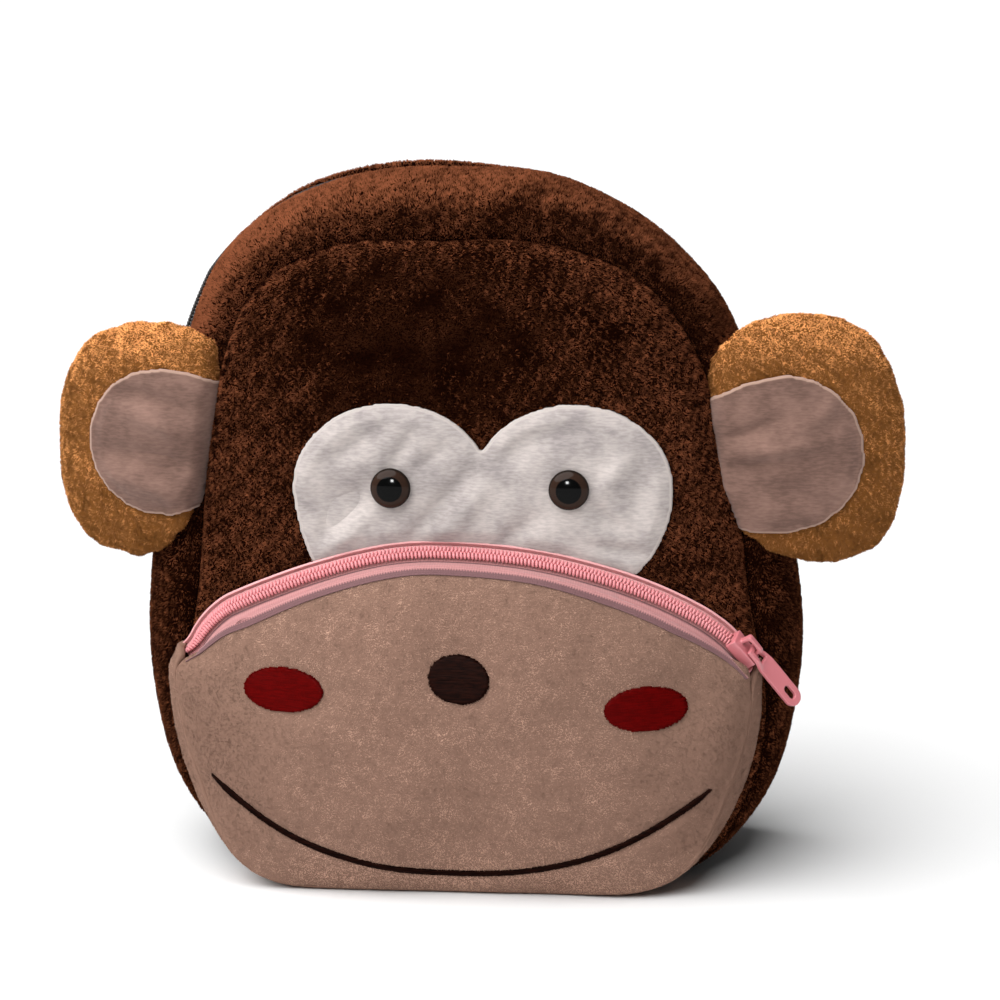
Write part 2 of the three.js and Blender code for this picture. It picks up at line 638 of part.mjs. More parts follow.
function sliderBridge() {
  const rise = BRIDGE_RISE + BRIDGE_SUNK;
  const outsideArch = archShape(BRIDGE_SPAN + 2 * BRIDGE_BAR, rise + BRIDGE_BAR);
  const outside = flatShape(outsideArch, BRIDGE_WIDTH, SLIDER_SEGMENTS);
  const inside = flatShape(archShape(BRIDGE_SPAN, rise), 2 * BRIDGE_WIDTH, SLIDER_SEGMENTS);
  inside.translate(0, 0, -BRIDGE_WIDTH / 2);
  const bridge = cutFrom(outside, inside);
  bridge.rotateX(Math.PI / 2);
  bridge.translate(0, BRIDGE_WIDTH / 2, PLATE_TOP - BRIDGE_SUNK);
  return bridge;
}

function roundedBar(fromX, toX, width) {
  const shape = new THREE.Shape();
  const tip = width / 2;
  shape.moveTo(fromX, -tip);
  shape.lineTo(toX - tip, -tip);
  shape.absarc(toX - tip, 0, tip, -Math.PI / 2, Math.PI / 2, false);
  shape.lineTo(fromX, tip);
  return shape;
}

function pullTab() {
  const end = PULL_THICKNESS / 2;
  const shape = roundedBar(-end, PULL_LENGTH, PULL_WIDTH);
  const window = new THREE.Path();
  window.moveTo(end, -PULL_WINDOW_WIDTH / 2);
  window.lineTo(PULL_WINDOW_END, -PULL_WINDOW_WIDTH / 2);
  window.lineTo(PULL_WINDOW_END, PULL_WINDOW_WIDTH / 2);
  window.lineTo(end, PULL_WINDOW_WIDTH / 2);
  const hole = new THREE.Path();
  const reach = (PULL_HOLE_LENGTH - PULL_HOLE_WIDTH) / 2;
  hole.absarc(PULL_HOLE_AT + reach, 0, PULL_HOLE_WIDTH / 2, -Math.PI / 2, Math.PI / 2, false);
  hole.absarc(PULL_HOLE_AT - reach, 0, PULL_HOLE_WIDTH / 2, Math.PI / 2, 1.5 * Math.PI, false);
  shape.holes.push(window, hole);
  const tab = flatShape(shape, PULL_THICKNESS, TAB_SEGMENTS);
  tab.translate(0, 0, -PULL_THICKNESS / 2);
  return tab;
}

const pocketSlider = sliderGroup(pocketStations, Math.round(SLIDER_AT * (pocketStations.length - 1)));
const pocketSliderBody = joined(sliderBody(pocketSlider, pocketCoil), sliderBridge());
pocketSlider.add(meshOf('pocket_slider', pocketSliderBody, 'plastic_pink'));
const pivot = new THREE.Group();
pivot.position.set(PIVOT_ALONG, 0, PLATE_TOP + PIVOT_RISE);
pivot.add(meshOf('pocket_pull', pullTab(), 'plastic_pink'));
pocketSlider.add(pivot);

// The main zip's slider and its tab, closed at the zip's end behind the right ear, are one plain piece.
const mainSlider = sliderGroup(mainZipStations, mainZipStations.length - MAIN_SLIDER_FROM_END);
const mainTabShape = roundedBar(-MAIN_TAB_ROOT, MAIN_TAB_LENGTH, PULL_WIDTH);
const mainTab = flatShape(mainTabShape, PULL_THICKNESS, TAB_SEGMENTS);
mainTab.translate(0, 0, PLATE_TOP - MAIN_TAB_SUNK);
const mainSliderBody = joined(sliderBody(mainSlider, mainZipStations), mainTab);
mainSlider.add(meshOf('main_zip_slider', mainSliderBody, 'plastic_dark'));

// Eye patch and eyes

function eyePatchShape() {
  const { x, z, lobe, lobeX, lobeZ, drop } = EYE_PATCH;
  const notch = Math.acos(lobe / lobeX);
  const shape = new THREE.Shape();
  shape.absellipse(x + lobe, z, lobeX, drop, -Math.PI / 2, 0, false);
  shape.absellipse(x + lobe, z, lobeX, lobeZ, 0, Math.PI - notch, false);
  shape.absellipse(x - lobe, z, lobeX, lobeZ, notch, Math.PI, false);
  shape.absellipse(x - lobe, z, lobeX, drop, Math.PI, 1.5 * Math.PI, false);
  return shape;
}

// The pocket's root on the face, let out by the given margin
function rootShape(margin) {
  return new THREE.Shape(muzzleRoot.map((p) => {
    const out = p.clone().sub(muzzleCentre).setY(0).normalize();
    return new THREE.Vector2(p.x + margin * out.x, p.z + margin * out.z);
  }));
}

const eyePatch = laidOn(faceSurface, eyePatchShape(), SEAM_GAP, PATCH, PATCH_SEGMENTS);
add('eye_patch', cutFrom(eyePatch, prism(rootShape(ROOT_MARGIN), 1)), 'patch_white');

const PATCH_TOP = SEAM_GAP + PATCH + SEAM_GAP;
const underEyes = wall(slide(faceSurface, -PATCH_TOP), slide(faceSurface, PLUSH), true);

function eyeDome() {
  const profile = [new THREE.Vector2(0, -EYE.sunk), new THREE.Vector2(EYE.radius, -EYE.sunk)];
  for (let i = 0; i <= EYE_STEPS; i++) {
    const angle = (Math.PI / 2) * (i / EYE_STEPS);
    const height = EYE.rim + (EYE.dome - EYE.rim) * Math.sin(angle);
    profile.push(new THREE.Vector2(i === EYE_STEPS ? 0 : EYE.radius * Math.cos(angle), height));
  }
  return new THREE.LatheGeometry(profile, EYE_SEGMENTS);
}

for (const side of ['left', 'right']) {
  const hit = frontOf(facePanel, EYE[side], EYE.z);
  const dome = eyeDome();
  const facing = new THREE.Quaternion().setFromUnitVectors(point(0, 1, 0), hit.face.normal);
  dome.applyQuaternion(facing);
  dome.translate(hit.point.x, hit.point.y - PATCH_TOP, hit.point.z);
  add(`eye_${side}`, cutFrom(dome, underEyes), 'eye_gloss');
}

// Satin-stitched cheeks, nose and smile on the muzzle

const muzzleSurface = pocket.slice(0, POCKET_SEAM + 1);

function oval({ x, z }, { halfWidth, halfHeight }, turn) {
  const shape = new THREE.Shape();
  shape.absellipse(x, z, halfWidth, halfHeight, 0, 2 * Math.PI, false, turn);
  return shape;
}

function smileShape() {
  const shape = new THREE.Shape();
  const centreZ = SMILE.lowZ + SMILE.radius;
  const from = -Math.PI / 2 - SMILE.halfAngle - SMILE.turn;
  const to = -Math.PI / 2 + SMILE.halfAngle - SMILE.turn;
  shape.absarc(SMILE.x, centreZ, SMILE.radius + SMILE.width / 2, from, to, false);
  shape.absarc(SMILE.x, centreZ, SMILE.radius - SMILE.width / 2, to, from, true);
  return shape;
}

const stitched = (shape, segments) => laidOn(muzzleSurface, shape, SEAM_GAP, THREAD, segments);
add('cheek_left', stitched(oval(CHEEK_LEFT, CHEEK, CHEEK.turn), CHEEK.segments), 'thread_red');
add('cheek_right', stitched(oval(CHEEK_RIGHT, CHEEK, CHEEK.turn), CHEEK.segments), 'thread_red');
add('nose', stitched(oval(NOSE, NOSE, NOSE.turn), NOSE.segments), 'thread_brown');
add('smile', stitched(smileShape(), SMILE.segments), 'thread_brown');

// Ears, sewn into the seam round the face, each with a flat inner patch

function earOutline(sign) {
  const curve = new THREE.CatmullRomCurve3(EAR_ROWS.map((row) => point(sign * row.out, 0, row.up)), true);
  const count = EAR_ROWS.length * EAR_COLUMNS_PER_ROW;
  return Array.from({ length: count }, (_, i) => curve.getPoint(i / count));
}

function earRing(edge, sign, reach, y) {
  const centre = point(sign * EAR_CENTRE.out, 0, EAR_CENTRE.up);
  return edge.map((p) => centre.clone().lerp(p, reach).setY(y));
}

for (const { side, sign, x, y, z, sweep, roll, size } of EARS) {
  const group = new THREE.Group();
  group.position.set(x, y, z);
  group.rotation.set(0, sign * roll, sign * sweep, 'ZYX');
  group.scale.setScalar(size);
  group.updateMatrixWorld(true);
  bag.add(group);
  const edge = earOutline(sign);
  const swell = (reach) => EAR_HALF_THICKNESS * (1 - reach ** EAR_ROUND);
  const dish = (reach) => EAR_DISH * (1 - reach ** 2) ** 2;
  const front = EAR_REACH.map((reach) => earRing(edge, sign, reach, dish(reach) - swell(reach)));
  const back = EAR_REACH.map((reach) => earRing(edge, sign, reach, swell(reach)));
  const against = inFrameOf(group, bagEnvelope);
  const stuffed = skin([...front, edge, ...back.reverse()]);
  group.add(meshOf(`ear_${side}`, cutFrom(stuffed, against), 'plush_tan'));
  const place = { x: sign * INNER_EAR.out, z: INNER_EAR.up };
  const inner = laidOn([...front, edge], oval(place, INNER_EAR, 0), SEAM_GAP, PATCH, INNER_EAR.segments);
  group.add(meshOf(`inner_ear_${side}`, cutFrom(inner, against), 'patch_rose'));
}

// Shoulder straps on the back

function strapRoute(sign) {
  const stops = STRAP_ROUTE.map(({ x, back, z }) => point(sign * x + leanAt(z), BODY_DEPTH + back, z));
  return new THREE.CatmullRomCurve3(stops, false, 'centripetal');
}

function strapFrame(route, share) {
  const along = route.getTangentAt(share);
  const across = point(1, 0, 0).addScaledVector(along, -along.x).normalize();
  return { centre: route.getPointAt(share), along, across, out: along.clone().cross(across) };
}

function strapLength(route, { from, to, width, thickness, steps }) {
  const edge = thickness / 2;
  const corners = [
    { across: width / 2, out: 0 },
    { across: width / 2 - edge, out: edge },
    { across: edge - width / 2, out: edge },
    { across: -width / 2, out: 0 },
    { across: edge - width / 2, out: -edge },
    { across: width / 2 - edge, out: -edge },
  ];
  const rings = Array.from({ length: steps + 1 }, (_, i) => {
    const frame = strapFrame(route, THREE.MathUtils.lerp(from, to, i / steps));
    return corners.map((corner) => frame.centre.clone()
      .addScaledVector(frame.across, corner.across)
      .addScaledVector(frame.out, corner.out));
  });
  return skin(capped(rings));
}

function ladderBuckle(length) {
  const shape = new THREE.Shape();
  const rectangle = (path, x, y, wide, high) => {
    path.moveTo(x, y);
    path.lineTo(x + wide, y);
    path.lineTo(x + wide, y + high);
    path.lineTo(x, y + high);
  };
  rectangle(shape, -BUCKLE.width / 2, -length / 2, BUCKLE.width, length);
  const slot = (length - 3 * BUCKLE.bar) / 2;
  for (const y of [-length / 2 + BUCKLE.bar, BUCKLE.bar / 2]) {
    const window = new THREE.Path();
    rectangle(window, BUCKLE.bar - BUCKLE.width / 2, y, BUCKLE.width - 2 * BUCKLE.bar, slot);
    shape.holes.push(window);
  }
  const frame = flatShape(shape, BUCKLE.thickness, 1);
  frame.translate(0, 0, -BUCKLE.thickness / 2);
  return frame;
}

for (const [side, sign] of [['left', -1], ['right', 1]]) {
  const route = strapRoute(sign);
  add(`strap_pad_${side}`, cutFrom(strapLength(route, PAD), bagEnvelope), 'plush_brown');
  add(`strap_webbing_${side}`, cutFrom(strapLength(route, WEBBING), bagEnvelope), 'webbing_brown');
  const { centre, along, across } = strapFrame(route, (BUCKLE.from + BUCKLE.to) / 2);
  const buckleLength = (BUCKLE.to - BUCKLE.from) * route.getLength();
  const buckle = meshOf(`strap_buckle_${side}`, ladderBuckle(buckleLength), 'plastic_dark');
  buckle.position.copy(centre);
  buckle.setRotationFromMatrix(new THREE.Matrix4().makeBasis(across, along, across.clone().cross(along)));
  bag.add(buckle);
}

// The origin is under the middle of the whole, on the surface that it stands on.
const box = new THREE.Box3().setFromObject(bag, true);
const middle = box.getCenter(point(0, 0, 0));
bag.position.set(-middle.x, -middle.y, -box.min.z);

export default bag;
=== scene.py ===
import json
import math

import bmesh
import bpy
import numpy as np
from mathutils import Matrix, Vector
from mathutils.bvhtree import BVHTree


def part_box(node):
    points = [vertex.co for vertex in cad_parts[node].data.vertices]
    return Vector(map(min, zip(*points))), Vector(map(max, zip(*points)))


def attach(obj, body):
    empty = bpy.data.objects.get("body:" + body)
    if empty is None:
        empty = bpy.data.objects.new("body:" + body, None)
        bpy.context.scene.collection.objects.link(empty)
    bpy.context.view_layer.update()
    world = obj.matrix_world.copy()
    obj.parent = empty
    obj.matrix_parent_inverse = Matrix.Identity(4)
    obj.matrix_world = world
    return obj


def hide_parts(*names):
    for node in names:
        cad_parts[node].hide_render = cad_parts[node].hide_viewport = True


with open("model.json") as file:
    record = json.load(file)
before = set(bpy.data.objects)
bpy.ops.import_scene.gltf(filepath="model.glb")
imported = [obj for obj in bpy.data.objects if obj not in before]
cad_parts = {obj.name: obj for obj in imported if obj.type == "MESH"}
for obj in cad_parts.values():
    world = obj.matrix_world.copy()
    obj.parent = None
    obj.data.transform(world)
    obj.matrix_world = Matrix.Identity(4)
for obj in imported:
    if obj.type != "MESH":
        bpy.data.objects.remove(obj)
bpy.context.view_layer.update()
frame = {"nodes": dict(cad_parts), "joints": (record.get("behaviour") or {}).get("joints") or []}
MM = 0.001


# The studio: a pale floor under one wide soft lamp from above and a little left, a small lamp that only
# glints in polished things, air of the floor's own white, and a camera as in the photograph.
FLOOR_SPAN = 30.0
FLOOR_GREY = (0.74, 0.74, 0.74, 1)
AIR_SEEN = 1.1
AIR_LIGHT = 0.10
LAMP_STRENGTH = 5.8
LAMP_SOFTNESS = math.radians(75)
LAMP_FRONT = math.radians(20)
LAMP_LEFT = math.radians(24)
GLINT_PLACE = (-0.05, -0.85, 0.41)
GLINT_SIZE = 0.12
GLINT_POWER = 6.0
CAMERA_TARGET = Vector((9.8, -31.0, 140.0)) * MM
CAMERA_AZIMUTH = math.radians(4)
CAMERA_ELEVATION = math.radians(10)
CAMERA_DISTANCE = 800 * MM
CAMERA_LENS = 80


class Wire:
    """A socket of a material's nodes. Sums and products of wires and numbers add Math nodes."""

    def __init__(self, tree, socket=None):
        self.tree = tree
        self.socket = socket

    def node(self, kind, settings=None, sockets=None, output=0):
        """Adds a node with these settings and these values or wires on its sockets."""
        made = self.tree.nodes.new("ShaderNode" + kind)
        for key, value in (settings or {}).items():
            setattr(made, key, value)
        for key, value in (sockets or {}).items():
            self.feed(made.inputs[key], value)
        return Wire(self.tree, made.outputs[output])

    def feed(self, socket, value):
        """Links a wire to a socket, or sets a value on it."""
        if isinstance(value, Wire):
            self.tree.links.new(value.socket, socket)
        else:
            socket.default_value = value

    def math(self, operation, first, second=0.0):
        """Adds a Math node."""
        return self.node("Math", {"operation": operation}, {0: first, 1: second})

    def __add__(self, other):
        return self.math("ADD", self, other)

    def __radd__(self, other):
        return self.math("ADD", other, self)

    def __sub__(self, other):
        return self.math("SUBTRACT", self, other)

    def __rsub__(self, other):
        return self.math("SUBTRACT", other, self)

    def __mul__(self, other):
        return self.math("MULTIPLY", self, other)

    def __rmul__(self, other):
        return self.math("MULTIPLY", other, self)

    def __truediv__(self, other):
        return self.math("DIVIDE", self, other)

    def noise(self, scale, detail, stretch=None):
        """Cloudy noise over the object, stretched along its axes where a piece needs it."""
        place = self.node("TexCoord", output="Object")
        if stretch:
            place = self.node("Mapping", sockets={"Vector": place, "Scale": stretch})
        return self.node("TexNoise", sockets={"Vector": place, "Scale": scale, "Detail": detail})

    def bump(self, shader, strength, deep, height):
        """Raises a shader's surface by a height."""
        sockets = {"Strength": strength, "Distance": deep, "Height": height}
        self.feed(shader.inputs["Normal"], self.node("Bump", sockets=sockets, output="Normal"))

    def step(self, low, high):
        """From 0 to 1, eased, as this wire goes from low to high."""
        return self.node("MapRange", {"interpolation_type": "SMOOTHSTEP"}, {0: self, 1: low, 2: high})

    def mix(self, first, second):
        """One colour turning to another as this wire goes from 0 to 1."""
        return self.node("Mix", {"data_type": "RGBA"}, {0: self, 6: first, 7: second}, 2)


def surface(name, sockets):
    """A new material, its shader with these sockets set, and a wire to grow its other nodes from."""
    material = bpy.data.materials.new(name)
    material.use_nodes = True
    shader = material.node_tree.nodes["Principled BSDF"]
    for key, value in sockets.items():
        shader.inputs[key].default_value = value
    return material, shader, Wire(material.node_tree)


def aimed(place, target):
    """The turn that points a lamp or a camera at a target."""
    return (Vector(target) - Vector(place)).to_track_quat("-Z", "Y").to_euler()


scene = bpy.context.scene
scene.view_settings.view_transform = "Standard"
eye_line = Vector((
    math.sin(CAMERA_AZIMUTH) * math.cos(CAMERA_ELEVATION),
    -math.cos(CAMERA_AZIMUTH) * math.cos(CAMERA_ELEVATION),
    math.sin(CAMERA_ELEVATION),
))
camera_place = CAMERA_TARGET + CAMERA_DISTANCE * eye_line
bpy.ops.object.camera_add(location=camera_place, rotation=aimed(camera_place, CAMERA_TARGET))
scene.camera = bpy.context.object
scene.camera.data.lens = CAMERA_LENS

bpy.ops.mesh.primitive_plane_add(size=FLOOR_SPAN)
floor = bpy.context.object
floor.name = "floor"
floor_white, _, _ = surface("floor_white", {
    "Base Color": FLOOR_GREY, "Roughness": 0.7, "Specular IOR Level": 0.1,
})
floor.data.materials.append(floor_white)

bpy.ops.object.light_add(type="SUN", rotation=(LAMP_FRONT, -LAMP_LEFT, 0))
lamp = bpy.context.object
lamp.name = "lamp"
lamp.data.energy = LAMP_STRENGTH
lamp.data.angle = LAMP_SOFTNESS

bpy.ops.object.light_add(type="AREA", location=GLINT_PLACE, rotation=aimed(GLINT_PLACE, CAMERA_TARGET))
glint = bpy.context.object
glint.name = "glint"
glint.data.size = GLINT_SIZE
glint.data.energy = GLINT_POWER
glint.visible_diffuse = False

air = bpy.data.worlds.new("air")
air.use_nodes = True
scene.world = air
air_wire = Wire(air.node_tree)
seen = air_wire.node("LightPath", output="Is Camera Ray")
air_wire.feed(air.node_tree.nodes["Background"].inputs["Color"], (1, 1, 1, 1))
air_wire.feed(air.node_tree.nodes["Background"].inputs["Strength"], AIR_LIGHT + seen * (AIR_SEEN - AIR_LIGHT))


# The bag's shell, in dark brown plush: a face panel, two arched bands, a base gusset and a back panel,
# each cut on its own, sewn to the next along its rim, and rolled in a little where it is sewn.
SHELL = ("face_panel", "arch_band_front", "arch_band_back", "base_gusset", "back_panel")
SHELL_SAG = 0.5 * MM
SHELL_SAG_SPAN = 55 * MM
BAG_MIDDLE = np.array([-2.0, 0.0, 118.0]) * MM
SEAM_CREASE = 0.6
SEAM_PRESS = 0.25 * MM
SEAM_DEPTH = 5.5 * MM
SEAM_REACH = 5.0 * MM
SEAM_LOW = 40 * MM
SEAM_FULL = 90 * MM
SEAM_LEAST = 0.3
BASE_SPAN = 25 * MM
OUTER_FACING = -0.35
ROLL_HIGH = 4.5 * MM
ROLL_WAY = np.array([0.45, 1.0, 0.45])
ROLL_FROM = 182 * MM
ROLL_FULL = 212 * MM
ROLL_EASED = {"from": 35, "to": -35, "share": 0.88}
BACK_ROLL = {"high": 3.0 * MM, "x": -15, "wide": 75}
BAG_HALF = np.array([120.0, 33.0, 120.0]) * MM
# The root colour is painted shade, for the pile's roots and the cloth between its tufts.
BROWN_ROOT_SHADE = (0.0055, 0.0013, 0.0006, 1)
BROWN_LOW = (0.009, 0.0022, 0.0010, 1)
BROWN_HIGH = (0.235, 0.074, 0.032, 1)


def only(piece):
    """Selects one piece and nothing else."""
    bpy.ops.object.select_all(action="DESELECT")
    piece.select_set(True)
    bpy.context.view_layer.objects.active = piece


def array_of(items, key, width, kind=np.float32):
    """One property of all the points, faces or corners of a mesh."""
    found = np.empty(len(items) * width, kind)
    items.foreach_get(key, found)
    return found.reshape(-1, width)


def points_of(piece):
    """The places of a piece's points."""
    return array_of(piece.data.vertices, "co", 3)


def normals_of(piece):
    """The ways that a piece's points face."""
    return array_of(piece.data.vertices, "normal", 3)


def move_points(piece, place):
    """Puts a piece's points at new places."""
    piece.data.vertices.foreach_set("co", np.asarray(place, np.float32).ravel())
    piece.data.update()


def finish_with(piece, kind, **settings):
    """Adds a modifier and applies it."""
    only(piece)
    modifier = piece.modifiers.new(kind.lower(), kind)
    for key, value in settings.items():
        setattr(modifier, key, value)
    bpy.ops.object.modifier_apply(modifier=modifier.name)


def sewn_copy(name, node):
    """A new piece from a copy of a CAD node's mesh, its loose triangles merged and turned to quads."""
    mesh = frame["nodes"][node].data.copy()
    mesh.materials.clear()
    piece = bpy.data.objects.new(name, mesh)
    scene.collection.objects.link(piece)
    only(piece)
    bpy.ops.mesh.customdata_custom_splitnormals_clear()
    bpy.ops.object.mode_set(mode="EDIT")
    bpy.ops.mesh.select_all(action="SELECT")
    bpy.ops.mesh.remove_doubles(threshold=0.01 * MM)
    bpy.ops.mesh.tris_convert_to_quads()
    bpy.ops.mesh.normals_make_consistent(inside=False)
    bpy.ops.object.mode_set(mode="OBJECT")
    bpy.ops.object.shade_smooth()
    return piece


def sewn_panel(name, node, levels):
    """A panel from a copy of its CAD node, smoothed, with its rims kept and pressed on the next panel's."""
    piece = sewn_copy(name, node)
    bpy.ops.object.mode_set(mode="EDIT")
    bpy.ops.mesh.select_mode(type="EDGE")
    bpy.ops.mesh.select_all(action="DESELECT")
    bpy.ops.mesh.edges_select_sharp(sharpness=math.radians(50))
    bpy.ops.transform.edge_crease(value=SEAM_CREASE)
    bpy.ops.mesh.select_mode(type="VERT")
    bpy.ops.object.mode_set(mode="OBJECT")
    finish_with(piece, "SUBSURF", levels=levels, render_levels=levels)
    finish_with(piece, "DISPLACE", strength=SEAM_PRESS, mid_level=0)
    return piece


def tree_of(*pieces):
    """One search tree over the faces of several pieces."""
    place = []
    faces = []
    for piece in pieces:
        first = len(place)
        place += [point.co for point in piece.data.vertices]
        faces += [[first + corner for corner in face.vertices] for face in piece.data.polygons]
    return BVHTree.FromPolygons(place, faces)


def cad_tree(*nodes):
    """One search tree over the faces of CAD nodes."""
    return tree_of(*(frame["nodes"][node] for node in nodes))


def gaps_to(tree, place):
    """How far points are from the faces of a search tree."""
    return np.array([tree.find_nearest(Vector(point))[3] for point in place])


def mark_points(piece, key, value):
    """Stores a number at each of a piece's points."""
    mark = piece.data.attributes.new(key, "FLOAT", "POINT")
    mark.data.foreach_set("value", np.asarray(value, np.float32))


def marks_of(piece, key):
    """The numbers that are stored at a piece's points."""
    return array_of(piece.data.attributes[key].data, "value", 1)[:, 0]


def unit(rows):
    """Rows of vectors, each made one long."""
    return rows / np.maximum(np.linalg.norm(rows, axis=-1, keepdims=True), 1e-12)


def ramp(value, none, full):
    """From 0 to 1 as a value goes from none to full, and level past both."""
    return np.clip((value - none) / (full - none), 0, 1)


def eased(share):
    """A share from 0 to 1 that starts and ends softly."""
    return share * share * (3 - 2 * share)


def waves(place, span, seed):
    """A smooth random field, mostly from -1 to 1, whose swells are about a span long."""
    rng = np.random.default_rng(seed)
    way = rng.normal(size=(8, 3))
    way *= 2 * math.pi / span * rng.uniform(0.6, 1.4, (8, 1)) / np.linalg.norm(way, axis=1, keepdims=True)
    return np.sin(place @ way.T + rng.uniform(0, 2 * math.pi, 8)).sum(1) / 2.8


def plush(name, root, low, high, sheen, patch):
    """Short pile: painted shade at its roots and on the cloth between its tufts, paler toward their ends, in
    brushed patches, each tuft in its own tone.
    """
    material, shader, wire = surface(name, {
        "Roughness": 0.9, "Specular IOR Level": 0.0, "Sheen Weight": sheen, "Sheen Roughness": 0.4,
        "Sheen Tint": high,
    })
    brushed = wire.noise(scale=1 / patch, detail=3.0)
    tuft = wire.node("Attribute", {"attribute_name": "tuft"}, output="Fac")
    unshaded = wire.node("Attribute", {"attribute_name": "unshaded"}, output="Fac")
    tone = tuft * 0.8 + brushed.step(0.3, 0.7) * 0.2
    # The root colour is painted shade; the bare cloth, which carries no mark, takes it whole.
    wire.feed(shader.inputs["Base Color"], unshaded.mix(root, tone.mix(low, high)))
    return material


def put(piece, material, slot, *nodes, body="bag"):
    """Gives a piece its material and its body, and hides the CAD nodes that it stands for. The slot argument
    is not used.
    """
    piece.data.materials.append(material)
    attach(piece, body)
    if nodes:
        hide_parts(*nodes)


def share_between(place, first, second):
    """How far points are on the way from one CAD node to another, from 0 to 1."""
    near = gaps_to(cad_tree(first), place)
    far = gaps_to(cad_tree(second), place)
    return near / np.maximum(near + far, 1e-9)


def domed(place, first, second):
    """A round swelling, from 0 to 1, between two CAD nodes."""
    share = share_between(place, first, second)
    return np.sqrt(np.clip(4 * share * (1 - share), 0, 1))


brown = plush("plush_brown", BROWN_ROOT_SHADE, BROWN_LOW, BROWN_HIGH, sheen=0.15, patch=14 * MM)
shell = {}
for node in SHELL:
    panel = sewn_panel(node + "_plush", node, levels=1 if node == "back_panel" else 2)
    place = points_of(panel)
    outward = unit(place - BAG_MIDDLE)
    seam = gaps_to(cad_tree(*(other for other in SHELL if other != node)), place)
    off_base = ramp(place[:, 2], 0, BASE_SPAN)
    sag = waves(place, SHELL_SAG_SPAN, 11) * SHELL_SAG * off_base
    rolled = SEAM_DEPTH * np.exp(-seam / SEAM_REACH)
    rolled *= SEAM_LEAST + (1 - SEAM_LEAST) * ramp(place[:, 2], SEAM_LOW, SEAM_FULL)
    rolled *= off_base
    bulge = unit((place - BAG_MIDDLE) / BAG_HALF)
    normal = normals_of(panel)
    moved = outward * sag[:, None] - bulge * rolled[:, None]
    if node == "arch_band_front":
        high = ROLL_HIGH * domed(place, "face_panel", "arch_band_back")
        high *= ramp(place[:, 2], ROLL_FROM, ROLL_FULL)
        leftward = ramp(place[:, 0] / MM, ROLL_EASED["from"], ROLL_EASED["to"])
        high *= 1 - ROLL_EASED["share"] * eased(leftward)
        moved += unit(bulge * ROLL_WAY) * high[:, None]
    if node == "arch_band_back":
        high = BACK_ROLL["high"] * domed(place, "arch_band_front", "back_panel")
        high *= np.exp(-((place[:, 0] / MM - BACK_ROLL["x"]) / BACK_ROLL["wide"]) ** 4)
        moved += unit(bulge * ROLL_WAY) * high[:, None]
    move_points(panel, place + moved)
    mark_points(panel, "from_seam", seam)
    mark_points(panel, "outer", np.sum(normal * outward, 1) > OUTER_FACING)
    put(panel, brown, "plush_brown", node)
    shell[node] = panel


# The main zip, over the arch between the two bands: a dark woven tape, two rows of nylon teeth meeting
# in the middle, and a plain slider closed at the end behind the right ear.
COIL_SIDES = 8
COIL_STEP = 0.5 * MM
TOOTH_PITCH = 1.35 * MM
TOOTH_REACH = 2.6 * MM
TOOTH_WIDE = 1.3 * MM
TOOTH_HIGH = 1.5 * MM
TOOTH_SLANT = 0.5 * MM
TOOTH_TAPER = 14 * MM
TOOTH_LEAST = 0.3
HEAD_LIFT = 0.25
HEAD_PAST = 0.35 * MM
FOOT_DROP = 0.3
TAPE_THICK = 0.8 * MM
TAPE_DROP = 1.9 * MM
MAIN_TAPE_HALF = 8 * MM
MAIN_COLUMNS = 7
MAIN_SINK = 2.6 * MM
MAIN_SHOWN = 70 * MM
MAIN_SINK_SPAN = 20 * MM
ZIP_DARK = (0.012, 0.010, 0.010, 1)
ZIP_DARK_HIGH = (0.035, 0.028, 0.026, 1)
PLASTIC_LOW = (0.016, 0.012, 0.011, 1)
PLASTIC_HIGH = (0.024, 0.018, 0.016, 1)


def even_run(rows, step):
    """Rows that each begin with a place, eased from one to the next and evenly spaced along their line."""
    padded = np.vstack([2 * rows[0] - rows[1], rows, 2 * rows[-1] - rows[-2]])
    share = np.linspace(0, 1, 16, endpoint=False)[:, None]
    fine = []
    for a, b, c, d in zip(padded, padded[1:], padded[2:], padded[3:]):
        bend = share ** 2 * (a - 2.5 * b + 2 * c - d / 2) + share ** 3 * (1.5 * (b - c) + (d - a) / 2)
        fine.append(b + share * (c - a) / 2 + bend)
    fine = np.vstack(fine + [rows[-1:]])
    gaps = np.linalg.norm(np.diff(fine[:, :3], axis=0), axis=1)
    run = np.concatenate([[0], np.cumsum(gaps)])
    even = np.linspace(0, run[-1], int(run[-1] / step) + 1)
    return np.column_stack([np.interp(even, run, column) for column in fine.T])


def zip_line(node, toward, turn):
    """The line that a zip's coil follows, its ways across and out, and the same once the teeth are turned."""
    coil = bmesh.new()
    coil.from_mesh(frame["nodes"][node].data)
    bmesh.ops.remove_doubles(coil, verts=coil.verts, dist=0.01 * MM)
    ends = [point for point in coil.verts if len(point.link_edges) == COIL_SIDES]
    ring = {min(ends, key=lambda point: point.co.x)}
    passed = set(ring)
    rows = []
    while len(passed) < len(coil.verts) - 1:
        ring = {edge.other_vert(point) for point in ring for edge in point.link_edges} - passed
        passed |= ring
        places = np.array([point.co for point in ring])
        middle = places.mean(0)
        across = max(places - middle, key=lambda way: abs(way @ way))
        rows.append(np.concatenate([middle, across * np.sign(across @ toward)]))
    coil.free()
    rows = even_run(np.array(rows), COIL_STEP)
    along = unit(np.gradient(rows[:, :3], axis=0))
    across = unit(rows[:, 3:] - along * np.sum(rows[:, 3:] * along, 1, keepdims=True))
    out = np.cross(along, across)
    out *= np.sign(np.sum(out * (rows[:, :3] - BAG_MIDDLE), 1, keepdims=True))
    turned = math.cos(turn) * across - math.sin(turn) * out
    facing = math.cos(turn) * out + math.sin(turn) * across
    return {"middle": rows[:, :3], "ledge": across, "rise": out, "across": turned, "out": facing}


def beside(line, over, drop, across="across", out="out"):
    """Points at one distance across a zip's line and a little under it."""
    return line["middle"] + line[across] * over - line[out] * drop


